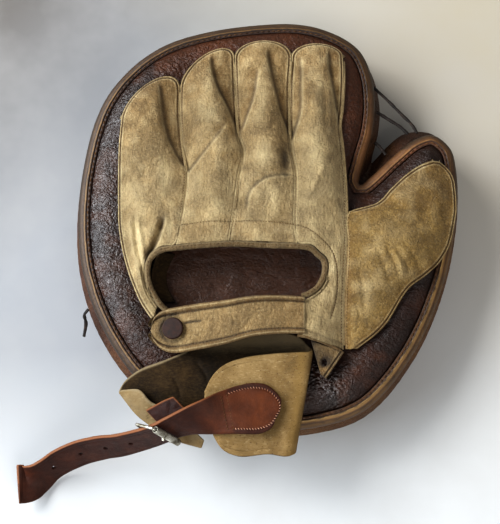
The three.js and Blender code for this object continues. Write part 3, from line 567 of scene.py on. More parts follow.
# Buckskin: three tans clouded together and smudged, brushed one way and creped the other, with pores, made pale by
# wear and painted highlights, darkened by stains and painted shade, or turned golden where the marks say
def tanMaterial(name, look):
    where = startMaterial(name)
    cloud = noise(where, 0.03, 5, 0.62, 0.7)
    smudge = noise(place(look["drawn"]), 0.016, 9, 0.68, 0.8)
    patch = noise(where, 0.0065, 7, 0.74, 0.4)
    brushed = noise(place(look["streak"]), 0.0017, 5, 0.76, 0.3)
    crepe = noise(place(look["crepe"]), 0.0016, 5, 0.74, 0.9)
    grain = noise(where, 0.0008, 3, 0.65)
    fineLines = spread(cells(wandering(where, 0.004, 0.002), 0.003, "DISTANCE_TO_EDGE"), 0.0, 0.2)
    creped = spread(smudge, 0.4, 0.56)
    base = ramp(cloud, (0.28, look["dark"]), (0.5, look["middle"]), (0.76, look["light"]))
    base = layer(base, look["smudge"], smudge, 0.5, 0.76, 0.4)
    base = layer(base, look["patch"], patch, 0.46, 0.72, 0.5)
    base = layer(base, look["light"], brushed, 0.5, 0.7, 0.5)
    base = layer(base, look["streakDark"], brushed, 0.48, 0.3, 0.5)
    ruts = times(spread(crepe, 0.5, 0.36, 0.0, 0.7), creped)
    base = blendColour(ruts, base, look["streakDark"])
    golden = times(mark("gold"), spread(patch, 0.34, 0.6, 0.35, 1.0))
    base = blendColour(golden, base, look["gold"])
    fleck = noise(where, 0.0016, 4, 0.7)
    base = layer(base, look["pale"], fleck, 0.56, 0.68, 0.35)
    base = layer(base, look["streakDark"], fleck, 0.42, 0.32, 0.4)
    base = layer(base, look["streakDark"], fineLines, 0.5, 0.0, 0.16)
    # The pale mark holds worn pale edges and patches, and painted highlights on fold crests, knuckles and hill tops
    worn = times(mark("pale"), spread(brushed, 0.34, 0.56, 0.6, 1.0))
    base = blendColour(worn, base, look["pale"])
    pores = spread(cells(where, 0.0024), 0.24, 0.08, 0.0, 0.5)
    pores = times(pores, spread(patch, 0.48, 0.62, 0.0, 1.0))
    base = blendColour(pores, base, look["pore"])
    # This dark mark holds real stains and grime, and painted shade in fold steps, hollows and along sewn seams
    base = blendColour(mark("grime"), base, look["grime"])
    wrinkle = noise(where, 0.0042, 5, 0.7, 1.4)
    normal = bumps(
        (wrinkle, 0.0012, look["wrinkle"]),
        (times(crepe, creped), 0.0013, 1.0),
        (fineLines, 0.0004, 0.6),
        (brushed, 0.0006, 0.8),
        (grain, 0.00025, 0.6),
    )
    rough = spread(patch, 0.3, 0.7, look["rough"] + 0.06, look["rough"] - 0.08)
    return finishMaterial(base, rough, normal, specular=0.32, sheen=look["sheen"])


# Polished horsehide: near black to red brown, pebbles with worn tops and fine cracks
def brownMaterial(name, look):
    where = startMaterial(name)
    cloud = noise(where, 0.05, 4, 0.6, 0.5)
    patch = noise(where, 0.012, 4, 0.6)
    pebble = cells(where, look["pebble"], "SMOOTH_F1")
    fine = noise(where, 0.0009, 3, 0.6)
    base = ramp(cloud, (0.32, look["dark"]), (0.52, look["middle"]), (0.74, look["light"]))
    base = layer(base, look["patch"], patch, 0.42, 0.75, 0.6)
    base = blendColour(mark("rub"), base, look["rub"])
    base = blendColour(times(mark("smooth"), 0.55), base, look["bed"])
    base = layer(base, look["dark"], pebble, 0.35, 0.75, 0.4)
    scuff = noise(place((1, 3, 1)), 0.0022, 5, 0.75)
    base = layer(base, look["rub"], scuff, 0.64, 0.8, look["scuff"])
    across = node("ShaderNodeSeparateXYZ", {"Vector": where}).outputs["X"]
    rougher = spread(mark("smooth"), 0.0, 1.0, 1.0, 0.3)
    rougher = times(rougher, spread(across, -0.08, 0.03, 1.0, look["calm"]))
    creases = times(noise(where, 0.0062, 3, 0.5, 2.6), rougher)
    crackle = spread(cells(wandering(where, 0.004, 0.005), 0.0036, "DISTANCE_TO_EDGE"), 0.0, 0.3)
    crackle = times(crackle, rougher)
    pebbles = times(spread(pebble, 0.0, 0.9, 1.0, 0.0), rougher)
    coarse = spread(cells(wandering(where, 0.003, 0.0012), 0.0021, "SMOOTH_F1"), 0.1, 0.8, 1.0, 0.0)
    glints = times(coarse, mark("pebbled"))
    drawn = noise(place((0.8, 2.4, 1.0)), 0.004, 4, 0.6, 1.2)
    normal = bumps(
        (creases, 0.0022, look["crease"]),
        (crackle, 0.001, look["crackle"]),
        (pebbles, 0.0007, look["pebbleDepth"]),
        (glints, 0.0022, 1.0),
        (drawn, 0.0006, look["drawn"]),
        (fine, 0.00008, 0.3),
    )
    rough = spread(patch, 0.3, 0.72, look["rough"] - 0.06, look["rough"] + 0.14)
    coat = spread(mark("pebbled"), 0.0, 1.0, look["coat"], 1.0)
    polished = spread(across, -0.085, -0.06, look["polish"], 0.0)
    coat = sums("ADD", coat, polished)
    return finishMaterial(base, rough, normal, specular=0.22, coat=coat, coatRough=0.21)


# Rim strip: colours change across the strip, and turn orange in the crotch
def bindingMaterial():
    where = startMaterial("bindingLeather")
    across = mark("across")
    patch = noise(where, 0.011, 5, 0.65, 0.5)
    fine = noise(where, 0.0013, 4, 0.7)
    wander = sums("ADD", across, spread(patch, 0.3, 0.7, -0.045, 0.045))
    base = ramp(
        wander, (0.0, (22, 15, 9)), (0.16, (46, 32, 18)), (0.34, (68, 47, 26)),
        (0.5, (50, 32, 18)), (0.57, (128, 98, 56)), (0.62, (92, 65, 35)),
        (0.68, (34, 20, 12)), (0.84, (58, 34, 20)), (1.0, (28, 16, 10)),
    )
    orange = ramp(
        wander, (0.0, (48, 30, 17)), (0.2, (98, 65, 35)), (0.5, (114, 75, 39)),
        (0.6, (144, 104, 60)), (0.68, (70, 40, 20)), (0.82, (108, 62, 30)), (1.0, (60, 33, 17)),
    )
    golden = ramp(
        wander, (0.0, (70, 48, 26)), (0.2, (104, 76, 40)), (0.36, (70, 46, 24)), (0.46, (124, 92, 50)),
        (0.59, (168, 134, 82)), (0.66, (40, 25, 14)), (0.82, (88, 56, 29)), (1.0, (38, 23, 13)),
    )
    base = blendColour(mark("golden"), base, golden)
    base = blendColour(mark("crotch"), base, orange)
    base = layer(base, (38, 25, 15), patch, 0.44, 0.7, 0.6)
    base = layer(base, (128, 96, 56), fine, 0.56, 0.76, 0.5)
    normal = bumps((patch, 0.0009, 0.6), (fine, 0.00025, 0.7))
    return finishMaterial(base, spread(fine, 0.3, 0.7, 0.48, 0.66), normal, specular=0.45)


# Strap: red brown grain that darkens along it, with a pale cut edge
def strapMaterial():
    where = startMaterial("strapLeather")
    patch = noise(where, 0.014, 5, 0.65, 0.4)
    fine = noise(where, 0.0011, 4, 0.7)
    worn = noise(where, 0.004, 5, 0.7, 0.8)
    light = ramp(patch, (0.3, (66, 31, 13)), (0.55, (86, 43, 19)), (0.75, (102, 55, 26)))
    dark = ramp(patch, (0.3, (32, 15, 11)), (0.55, (50, 24, 17)), (0.75, (68, 34, 22)))
    base = blendColour(mark("dark"), light, dark)
    base = layer(base, (58, 27, 15), worn, 0.56, 0.8, 0.5)
    base = blendColour(mark("cut"), base, (128, 80, 48))
    base = layer(base, (140, 80, 46), fine, 0.62, 0.8, 0.25)
    normal = bumps((worn, 0.0006, 0.5), (fine, 0.0002, 0.6))
    return finishMaterial(base, spread(worn, 0.3, 0.7, 0.46, 0.62), normal, specular=0.2)


# Cuff: the flesh side is dark olive nap, the grain side tan
def cuffMaterial(tan):
    where = startMaterial("cuffLeather")
    nap = noise(place((1.0, 2.6, 1.0)), 0.0026, 5, 0.72, 0.6)
    cloud = noise(where, 0.022, 4, 0.6, 0.6)
    fine = noise(where, 0.0008, 3, 0.7)
    flesh = ramp(cloud, (0.3, (20, 13, 6)), (0.52, (35, 24, 11)), (0.75, (56, 41, 21)))
    flesh = layer(flesh, (84, 66, 39), nap, 0.45, 0.75, 0.5)
    # The shade mark here is painted shade on the flesh side
    flesh = blendColour(mark("shade"), flesh, (20, 15, 9))
    grain = ramp(cloud, (0.32, (92, 73, 45)), (0.5, (122, 99, 64)), (0.7, (148, 124, 85)))
    grain = layer(grain, tan["patch"], nap, 0.42, 0.66, 0.6)
    grain = layer(grain, tan["pale"], nap, 0.44, 0.3, 0.3)
    grain = blendColour(mark("gold"), grain, (132, 105, 58))
    pores = spread(cells(where, 0.0022), 0.26, 0.1, 0.0, 0.7)
    grain = blendColour(pores, grain, (86, 62, 35))
    specks = spread(cells(where, 0.0052), 0.15, 0.1, 0.0, 0.85)
    grain = blendColour(times(specks, mark("specks")), grain, (60, 40, 24))
    base = blendColour(mark("grain"), flesh, grain)
    # Pale frayed edges, and painted light on the lower layer under the band
    base = blendColour(mark("fray"), base, (138, 122, 94))
    normal = bumps((nap, 0.0008, 0.6), (fine, 0.0002, 0.6))
    return finishMaterial(base, 0.86, normal, specular=0.15)


def threadMaterial(name, light, dark):
    where = startMaterial(name)
    twist = noise(where, 0.0007, 2, 0.6)
    stain = noise(where, 0.013, 4, 0.6)
    base = ramp(stain, (0.35, dark), (0.62, light))
    normal = bumps((twist, 0.0002, 0.6))
    return finishMaterial(base, 0.8, normal, specular=0.3)


def laceMaterial():
    where = startMaterial("laceLeather")
    patch = noise(where, 0.006, 4, 0.65)
    fine = noise(where, 0.0008, 3, 0.7)
    base = ramp(patch, (0.36, (15, 10, 7)), (0.58, (34, 22, 14)), (0.78, (72, 46, 28)))
    normal = bumps((fine, 0.0003, 0.7))
    return finishMaterial(base, 0.62, normal, specular=0.4)


def nickelMaterial():
    where = startMaterial("wornNickel")
    patch = noise(where, 0.0045, 4, 0.6)
    base = ramp(patch, (0.36, (104, 96, 80)), (0.5, (166, 160, 146)), (0.7, (226, 222, 210)))
    rough = spread(patch, 0.35, 0.7, 0.5, 0.2)
    return finishMaterial(base, rough, bumps((patch, 0.00015, 0.4)), metallic=1.0)


def buttonMaterial():
    where = startMaterial("buttonEnamel")
    patch = noise(where, 0.004, 4, 0.65)
    fine = noise(where, 0.0006, 3, 0.6)
    base = ramp(patch, (0.34, (26, 13, 9)), (0.55, (42, 23, 16)), (0.76, (60, 36, 27)))
    return finishMaterial(base, spread(patch, 0.3, 0.7, 0.5, 0.62), bumps((fine, 0.0001, 0.4)), specular=0.2)


# Floor: a painted light falloff, darker on the left and much darker at the upper left corner, a painted warm light
# tint at the upper right, and brighter towards the front; a faint cloud over all
def floorMaterial():
    where = startMaterial("paleFloor")
    cloud = noise(where, 0.09, 4, 0.6)
    sides = node("ShaderNodeSeparateXYZ", {"Vector": where}).outputs
    base = blendColour(spread(sides["X"], -0.1, 0.2), (150, 152, 156), (196, 195, 192))
    corner = spread(sums("SUBTRACT", sides["Y"], sides["X"]), 0.16, 0.4, 0.0, 0.85)
    base = blendColour(corner, base, (86, 78, 68))
    warm = spread(sums("ADD", sides["Y"], sides["X"]), 0.1, 0.34, 0.0, 0.85)
    base = blendColour(warm, base, (172, 162, 141))
    front = spread(sides["Y"], -0.06, -0.17, 0.0, 0.8)
    base = blendColour(front, base, (204, 206, 207))
    base = layer(base, (176, 174, 172), cloud, 0.4, 0.7, 0.3)
    return finishMaterial(base, 0.62, None, specular=0.25)


tan = {
    "dark": (114, 93, 60), "middle": (150, 125, 83), "light": (182, 158, 114),
    "patch": (122, 97, 57), "smudge": (88, 71, 45), "streakDark": (84, 64, 36),
    "gold": (128, 92, 42), "pale": (206, 186, 142), "pore": (74, 53, 30),
    "grime": (42, 30, 19), "streak": (2.4, 0.45, 1.0), "crepe": (0.5, 2.3, 1.0), "drawn": (1.3, 0.65, 1.0),
    "wrinkle": 1.0, "rough": 0.68, "sheen": 0.05,
}
thumbTan = {
    **tan, "dark": (104, 80, 40), "middle": (138, 110, 57), "light": (178, 147, 86),
    "patch": (112, 87, 44), "smudge": (82, 65, 36), "gold": (118, 84, 38),
    "streak": (1.3, 1.1, 1.0), "crepe": (1.0, 1.4, 1.0), "drawn": (0.9, 0.9, 1.0),
}
brown = {
    "dark": (18, 10, 7), "middle": (40, 22, 14), "light": (66, 38, 24),
    "patch": (46, 24, 16), "rub": (88, 50, 29), "pebble": 0.0014, "scuff": 0.25,
    "bed": (72, 47, 33), "crease": 1.0, "pebbleDepth": 0.1, "rough": 0.4, "coat": 0.2, "crackle": 0.45,
    "drawn": 0.8, "polish": 0.95, "calm": 0.45,
}
palmBrown = {
    **brown, "dark": (38, 23, 15), "middle": (68, 41, 26), "light": (94, 60, 37),
    "patch": (60, 36, 22), "rub": (112, 80, 45), "pebble": 0.0011, "scuff": 0.5,
    "crease": 0.7, "pebbleDepth": 0.4, "rough": 0.55, "coat": 0.05, "crackle": 0.2, "drawn": 0.2,
    "polish": 0.0, "calm": 1.0,
}
finishes = {
    "tan": tanMaterial("buckskin", tan),
    "thumb": tanMaterial("thumbBuckskin", thumbTan),
    "brown": brownMaterial("backHorsehide", brown),
    "palm": brownMaterial("palmHorsehide", palmBrown),
    "binding": bindingMaterial(),
    "strap": strapMaterial(),
    "cuff": cuffMaterial(tan),
    "darkThread": threadMaterial("darkThread", (104, 72, 38), (54, 36, 20)),
    "pinkThread": threadMaterial("pinkThread", (206, 160, 132), (128, 78, 56)),
    "lace": laceMaterial(),
    "nickel": nickelMaterial(),
    "button": buttonMaterial(),
    "floor": floorMaterial(),
}
print("materials made")


# Back leather: rings from the middle out to the binding, with puckers that fan from the V's between
# the finger tips; height = skin height + fan ripples + soft hills
back = {
    "around": 520,
    "reaches": 84,
    "innerEdge": 9.6,
    "hills": 0.5,
    "hillSize": 17.0,
    "fans": columns("x y angle ripples reach height", [
        (-41, 121, 118, 15, 15, 0.75), (-2, 144, 100, 13, 14, 0.7), (38, 146, 90, 13, 13, 0.6),
    ]),
}


def windowBed(x, y):
    return bell(np.maximum(np.abs(x) - 54, 0), 6) * bell(np.maximum(np.abs(y + 16) - 20, 0), 5)


def backRelief(x, y):
    relief = back["hills"] * softNoise(x, y, back["hillSize"], 3)
    relief += 0.3 * softNoise(x, y, 5.5, 4) - 0.25 * bell(softNoise(x, y * 0.8, 11, 9), 0.09)
    drag = softNoise(x * 0.5 + y * 0.4, y - x * 0.3, 4.5, 5)
    bed = windowBed(x, y)
    pulled = 0.7 * softNoise(x, y, 24, 7) + 0.3 * softNoise(x * 0.5 + y * 0.5, y * 0.8 - x * 0.3, 6, 8)
    relief = relief * (1 - 0.6 * bed) + bed * (pulled - 0.22 * bell(drag, 0.2))
    fans = back["fans"]
    for k, (fanX, fanY, angle, ripples, reach, height) in enumerate(zip(*fans.values())):
        dx, dy = x - fanX, y - fanY
        turn = np.arctan2(dy, dx) - np.radians(angle)
        turn = (turn + np.pi) % (2 * np.pi) - np.pi
        fade = bell(turn, 1.15) * bell(np.hypot(dx, dy) - reach * 0.55, reach * 0.62)
        wander = turn + 0.08 * softNoise(x, y, 4.0, 11 + k)
        relief += height * np.cos(ripples * wander) * fade
    return relief


# The ring's plan drawn in towards the body's middle by shares of its reach, one row for each share
def shrunkRings(ring, reach):
    centre = np.array(bodyCentre)
    flat = centre + (ring[None] - centre) * reach[:, None, None]
    return flat[..., 0], flat[..., 1]


# Shares of the rings under the back leather
underReach = np.array([0.25, 0.5, 0.75, 0.9, 1.0])


def makeBack():
    count = back["around"]
    edge = insetRing(back["innerEdge"], count)
    reach = np.arange(1, back["reaches"] + 1) / back["reaches"]
    x, y = shrunkRings(edge, reach * 0.97 + 0.03 * reach**3)
    fade = np.clip(rimInset(x, y) - 10.5, 0, 4) / 4
    top = np.stack([x, y, skinHeight(x, y) + backRelief(x, y) * fade], 2)
    x, y = shrunkRings(edge, underReach[::-1])
    low = np.stack([x, y, skinHeight(x, y) - leather["wall"]], 2)
    poles = [[*bodyCentre, top[0, :, 2].mean()], [*bodyCentre, low[-1, :, 2].mean()]]
    points, faces = closedRings(np.concatenate([top, low]), poles)
    x, y, _ = points.T
    rub = 0.55 * bell(y - 150, 26) * (x > -60) + 0.5 * bell(np.hypot(x - 80, (y - 95) * 0.5), 17)
    rub = rub + 0.3 * bell(softNoise(x, y, 9, 6) - 0.7, 0.35)
    along, across = (x - 55) * 0.75 - (y + 86) * 0.66, (x - 55) * 0.66 + (y + 86) * 0.75
    makePiece("backLeather", points, faces, "brown", "back_leather", ["back_panel"], {
        "rub": np.clip(rub + 0.1 * windowBed(x, y), 0, 0.8),
        "smooth": windowBed(x, y),
        "pebbled": bell(np.hypot(along, across * 2.6), 27) * (y < -62),
    })
    print("back leather made")


# Padded palm: the same rings under the back, then the rolled side, the flat foot and the pocket.
# Gathers are ripples round the rolled edge, the pocket's creases run from its middle
palm = {
    "around": 520,
    "below": 3.2,
    "rebate": 37.8,
    "ledge": (3, 0.6),
    "footRows": (4, 5),
    "pocketHeight": 22.0,
    "gathers": 118,
    "gatherDepth": 0.07,
    "section": columns("reach height round radius", [
        (1, 27, 0, 0), (0.99, 17, 0, 0), (0.962, 8, 0, 0), (0.925, 2.2, 0, 0), (0.88, 0, 0, 0),
        (0.77, 0, 0.1, 84), (0.62, 6.5, 0.5, 76), (0.42, 15.5, 0.9, 50), (0.2, 20.5, 1, 24),
    ]),
    "finer": 6,
}


def makePalm():
    count = palm["around"]
    centre = np.array(bodyCentre)
    edge = insetRing(back["innerEdge"], count)
    palmRing = alongLine(palmLine, matchRim(count), closed=True)
    x, y = shrunkRings(edge, underReach)
    rings = [np.stack([x, y, skinHeight(x, y) - palm["below"]], 2)]
    ledgeInset, ledgeDrop = palm["ledge"]
    for ring, height in ((edge, palm["rebate"]), (insetRing(ledgeInset, count), palm["rebate"] - ledgeDrop)):
        rings.append(np.column_stack([ring, np.full(count, height)])[None])
    rows = np.arange(len(palm["section"]["reach"]), dtype=float)
    fine = np.linspace(0, rows[-1], (len(rows) - 1) * palm["finer"] + 1)
    section = {**palm["section"], "row": rows}
    reach, height, turn, radius = (readTable(section, "row", name, fine) for name in palm["section"])
    footStart, footEnd = palm["footRows"]
    height = np.where((fine >= footStart) & (fine <= footEnd), 0, np.maximum(height, 0))
    away = np.linalg.norm(palmRing - centre, axis=1)
    share = reach[:, None] * (1 - turn[:, None]) + turn[:, None] * radius[:, None] / away[None, :]
    flat = centre + (palmRing[None] - centre) * share[..., None]
    angle = np.arange(count) / count * 2 * np.pi
    lift = np.repeat(height[:, None], count, 1)
    roll = bell(lift - 26, 11) + 0.35 * bell(fine[:, None] - 2.5, 1.2)
    ripple = np.cos(palm["gathers"] * angle + 7.0 * lineNoise(angle * 9, 1.0, 8))[None, :]
    ripple = ripple + 0.7 * softNoise(angle[None, :] * 60 + fine[:, None] * 0.2, fine[:, None] * 1.4, 1.0, 9)
    sink = palm["gatherDepth"] * roll * (ripple - 1.2)
    flat = flat + unit(flat - centre) * sink[..., None]
    inPocket = np.clip((fine[:, None] - 5.4) / 1.5, 0, 1)
    lift = lift + inPocket * (0.7 * softNoise(flat[..., 0], flat[..., 1], 15, 12)
                              + 0.35 * softNoise(flat[..., 0], flat[..., 1], 5, 13))
    rings.append(np.concatenate([flat, lift[..., None]], 2))
    poles = [[*centre, float(skinHeight(*centre)) - palm["below"]], [*centre, palm["pocketHeight"]]]
    points, faces = closedRings(np.concatenate(rings), poles)
    x, y, z = points.T
    worn = softNoise(x + 1.1 * z, y - 0.9 * z, 19, 14) + 0.6 * softNoise(x - 0.8 * z, y + 0.7 * z, 8, 15)
    rub = 0.5 * bell(z - 1, 4) + 0.35 * easeIn((worn + 0.2) / 1.6)
    rub = np.clip(rub + 0.65 * bell(z - 36, 14) * goldenSide(x, y) * (0.75 + 0.25 * worn), 0, 0.8)
    pad = makePiece("palmPad", points, faces, "palm", "palm_leather", ["palm_pad"],
                    {"rub": rub, "smooth": 0, "pebbled": 0})
    print("palm pad made")


# Shares of the palm line's length that lie under even steps of the rim: row k under row k
def matchRim(count):
    rimRun, palmRun = (runOf(np.vstack([line, line[:1]])) for line in (rimLine, palmLine))
    return np.interp(np.arange(count) / count, rimRun / rimRun[-1], palmRun / palmRun[-1])


# The rim is golden brown along the heel and the thumb's side, darker round the rest
def goldenSide(x, y):
    return easeIn((x * 0.75 - y * 0.66 - 30) / 60) * easeIn((60 - y) / 50)


# Binding: a rolled section carried round the rim; it swells and pinches a little as it goes
binding = {
    "around": 760,
    "width": 9.2,
    "section": columns("inset height", [
        (0.25, 42.6), (0.9, 39.6), (3.2, 38.4), (9.2, 38.4), (9.2, 48.6), (8.9, 49.9), (8.1, 50.3), (7.3, 50.0),
        (6.75, 49.7), (6.45, 50.3), (5.95, 50.55), (5.45, 50.2), (5.2, 49.4), (4.4, 49.5), (3.2, 49.0),
        (2.0, 48.0), (1.0, 46.4), (0.45, 44.6),
    ]),
    "swell": 0.35,
    "stitchInset": 7.6,
    "stitchHeight": 50.45,
    "stitchPitch": 3.9,
}


def crotchShare(x, y):
    return np.clip(bell(np.hypot(x - 104, y - 74), 34) * 1.25, 0, 1) * (x > 80)


def makeBinding():
    count = binding["around"]
    section = binding["section"]
    steps = np.arange(count) / count * 2 * np.pi
    rings = []
    for inset, height in zip(section["inset"], section["height"]):
        line = insetRing(inset, count)
        proud = binding["swell"] * softNoise(line[:, 0], line[:, 1], 11, 21) * (height > 44)
        proud = proud + 0.12 * softNoise(steps * 260, steps * 0 + inset, 1.6, 22) * (height > 44)
        rings.append(np.concatenate([line, (height + proud)[:, None]], 1))
    grid = np.array(rings)
    across = np.where(section["height"] < 40, 0.1, section["inset"] / binding["width"])
    across = np.repeat(across, count)
    points = grid.reshape(-1, 3)
    x, y, _ = points.T
    outerDark = 1 - 0.85 * (x > 104) * (y > 76) * (across < 0.42)
    marks = {"across": across, "crotch": crotchShare(x, y) * outerDark, "golden": goldenSide(x, y)}
    makePiece("rimBinding", points, [gridQuads(len(grid), count, wrapRows=True, wrapColumns=True)],
              "binding", "binding_leather", ["edge_binding"], marks)
    line = np.column_stack([insetRing(binding["stitchInset"], count), np.full(count, binding["stitchHeight"])])
    line = np.vstack([line, line[:1]])
    stitches = stitchArrays(line, binding["stitchPitch"], 0.62, 0.33, 0.3)
    makeThreads("bindingStitches", [stitches], "darkThread", "binding_leather")
    print("binding made")


makeBack()
makePalm()
makeBinding()


# Hand back: leather panels ruled between two seams by their length, arched at the tip and raised into
# tubes; height = ruled seam height + rise - creases, never below the back, rolled down at its edge
fingerRise = columns("y rise", [(140, 5), (110, 7.5), (80, 8), (50, 6), (25, 3.5), (5, 1.5), (-50, 2.5)])
# In each shape the pales spots are painted highlights on knuckles and ridges, with some worn pale patches; the stains
# are smudges
stalls = {
    "rows": 210,
    "columns": 68,
    "seamGap": 0.3,
    "outlineSteps": 260,
    "edgeBulge": 0.12,
    "puff": 2.6,
    "shapes": {
        "little_stall": {
            "piece": "littleStall",
            "left": ["littleEdge"], "right": ["littleRing", "windowLeft"], "arch": 17, "tip": 0.1,
            "free": (1.0, 0.1), "freeTip": 0.2,
            "steps": [
                {"path": [(-55.6, 123.3), (-54.8, 117.2), (-53.5, 108.0), (-51.9, 94.5), (-48.5, 81.0),
                          (-42.7, 68.5), (-36.5, 58.3)], "low": 1, "half": 1.1, "drop": 4.2, "reach": 8, "gold": 0.8},
                {"path": [(-50.0, 25.0), (-51.2, 18.0), (-53.3, 8.8), (-57.2, 1.8), (-61.0, -3.4), (-64.0, -10.6)],
                 "low": -1, "half": 0.35, "drop": 2.0, "reach": 3.0, "gold": 0},
            ],
            "grooves": [
                groove(2.4, 3.6, (-50.2, 22.9), (-52.8, 15.9), (-56.0, 7.4), (-58.6, -0.2), (-61.3, -7.7)),
                groove(1.1, 1.0, (-58.4, 25.4), (-54.3, 24.7), (-48.8, 25.1)),
                groove(1.6, -1.6, (-68.8, 32.2), (-67.8, 16.6), (-64.0, -4.3), (-60.1, -24.7)),
                groove(1.2, -1.2, (-74.8, 27.2), (-72.3, 6.0), (-67.3, -14.5), (-61.5, -32.5)),
                groove(0.9, 1.2, (-71.4, 30.2), (-69.8, 10.0), (-66.0, -8.3), (-61.9, -26.7)),
                groove(1.3, -1.1, (-47.0, 24.0), (-50.0, 16.0), (-53.6, 6.0)),
            ],
            "stains": spotTable((-60, 60, 12, 30, 0.12), (-50, 25, 4, 3, 0.3)),
            "pales": spotTable((-50, 52, 5, 12, 0.5), (-67.5, 0, 2.6, 16, 0.5), (-47, 16, 2.5, 7, 0.6),
                               (-69, 14, 5, 18, 0.3)),
        },
        "ring_stall": {
            "piece": "ringStall",
            "left": ["littleRing"], "right": ["ringMiddle"], "arch": 15, "tip": 0.1,
            "free": (0.1, 0.3), "freeTip": 0.2,
            "steps": [
                {"path": [(-19.5, 144.1), (-18.8, 138.7), (-17.6, 127.9), (-13.3, 115.7), (-6.5, 102.0),
                          (-2.0, 90.0), (0.9, 80.3)], "low": 1, "half": 0.55, "drop": 4.4, "reach": 7, "gold": 1},
                {"path": [(-7.5, 91.5), (-13.0, 81.8), (-18.7, 74.4), (-26.1, 65.6), (-35.6, 54.6)],
                 "low": -1, "half": 0.9, "drop": 2.6, "reach": 10, "gold": 0.35},
            ],
            "grooves": [
                groove(3.0, 1.2, (-32.0, 98.5), (-33.1, 82.1), (-34.3, 66.4)),
                groove(3.0, 0.9, (-31.5, 50.8), (-30.2, 38.3)),
            ],
            "stains": spotTable((-31, 45, 3.5, 9, 0.28), (-28, 92, 6, 14, 0.16), (-12, 55, 5, 8, 0.12)),
            "pales": spotTable((-19, 96, 6, 8, 0.6), (-21, 118, 4, 10, 0.3), (-15, 28, 7, 10, 0.25),
                               (-6, 46, 4, 12, 0.35)),
        },
        "middle_stall": {
            "piece": "middleStall",
            "left": ["ringMiddle"], "right": ["middleIndex"], "arch": 13, "tip": 0.1,
            "free": (0.2, 0.3), "freeTip": 0.2,
            "steps": [
                {"path": [(21.0, 148.0), (21.9, 137.2), (25.4, 119.5), (29.9, 99.7), (34.3, 87.7), (35.9, 79.5)],
                 "low": 1, "half": 0.6, "drop": 4.4, "reach": 7, "gold": 0.8},
                {"path": [(14.5, 132.5), (13.4, 123.3), (11.7, 111.8), (7.1, 97.5), (1.9, 84.0)],
                 "low": -1, "half": 0.5, "drop": 3.0, "reach": 7, "gold": 0.7},
                {"path": [(6.5, 25.8), (7.1, 35.8), (10.6, 43.0), (20.2, 49.5), (29.2, 51.7), (38.1, 52.4)],
                 "low": 1, "half": 0.8, "drop": 2.0, "reach": 9, "gold": 0},
            ],
            "grooves": [
                groove(3.0, 1.8, (31.4, 72.6), (32.7, 63.4), (34.0, 55.6)),
                groove(1.2, -0.5, (14, 81), (23, 78), (33, 77)),
            ],
            "stains": spotTable((32.6, 64, 3.2, 8.5, 0.85), (11, 52, 5, 8, 0.15)),
            "pales": spotTable((18, 66, 5, 9, 0.6), (17, 108, 4, 16, 0.4), (24, 38, 7, 8, 0.4)),
        },
        "index_stall": {
            "piece": "indexStall",
            "left": ["middleIndex", "windowRight"], "right": ["indexEdge"], "arch": 10, "tip": 0.09,
            "free": (0.2, 0.7), "freeTip": 0.16, "sewnLow": 0.75,
            "hem": [(43.8, -58.4), (52, -60.4), (60, -62.6), (72.6, -67)],
            "steps": [
                {"path": [(43.6, 142.6), (44.5, 131.0), (44.4, 119.5), (43.4, 97.5), (39.8, 85.5), (37.0, 76.4)],
                 "low": -1, "half": 0.5, "drop": 3.0, "reach": 7, "gold": 0.7},
                {"path": [(63.8, 148.0), (64.6, 131.8), (66.6, 117.2), (69.7, 99.7), (71.9, 87.7)],
                 "low": 1, "half": 0.5, "drop": 3.6, "reach": 5.5, "gold": 0.8},
            ],
            "grooves": [
                groove(1.8, -0.9, (61.0, 61.2), (54.6, 48.8), (47.2, 33.6)),
                groove(2.2, 0.8, (60.0, 120), (61.0, 96), (62.5, 78)),
            ],
            "stains": spotTable((65, 86, 3.6, 14, 0.4), (50, 128, 4, 12, 0.2), (72, 30, 2.5, 22, 0.2)),
            "pales": spotTable((54, 72, 5, 16, 0.35), (57, 108, 3, 20, 0.3), (66, -4, 3, 12, 0.4)),
        },
    },
}


def seamLine(names):
    rows = np.concatenate([sideBySide(seams[name], "x y z") for name in names])
    rest = skinHeight(rows[:, 0], rows[:, 1]) + leather["lay"]
    rows[:, 2] = np.maximum(rows[:, 2], rest)
    return spline(rows, 16)


# Distance to a fold's line, positive on its low side, and the share of the fold that is there
def foldAt(x, y, step):
    away, share, side = nearestOn(x, y, spline(step["path"], 8))
    return away * side * step["low"], easeIn(share / 0.1) * easeIn((1 - share) / 0.1)


# The low side of a fold: a sharp drop at its line that comes up again away from it
def lowSide(signed, ends, step):
    slope = 1 / (1 + np.exp(-np.clip(signed / step["half"], -30, 30)))
    return ends * slope * bell(np.maximum(signed, 0), step["reach"])


def grooveDepth(x, y, crease):
    away, share, _ = nearestOn(x, y, spline(crease["path"], 8))
    return crease["depth"] * easeIn(share / 0.2) * easeIn((1 - share) / 0.2) * bell(away, crease["half"])


def spots(x, y, table):
    total = np.zeros(np.shape(x))
    for k, (middleX, middleY, wide, tall, amount) in enumerate(zip(*table.values())):
        dx, dy = (x - middleX) / wide, (y - middleY) / tall
        blur = 1 + 0.35 * softNoise(x, y, 3.0, 31 + k)
        total += amount * np.exp(-(dx * dx + dy * dy) * blur)
    return total


# Shares from 0 to 1 that crowd towards both ends
def crowded(count, amount):
    t = np.linspace(0, 1, count)
    return t * (1 - amount) + amount * (1 - np.cos(np.pi * t)) / 2


# Outline of a panel's grid, from the foot of its left side over the tip and down its right side
def panelOutline(top):
    return np.concatenate([top[::-1, 0], top[0, 1:], top[1:, -1]])


# Heights of the points of a grid that are nearest to places
def nearestHeight(places, grid):
    flat = grid.reshape(-1, 3)
    gap = (places[:, None, 0] - flat[None, :, 0]) ** 2 + (places[:, None, 1] - flat[None, :, 1]) ** 2
    return flat[gap.argmin(1), 2]


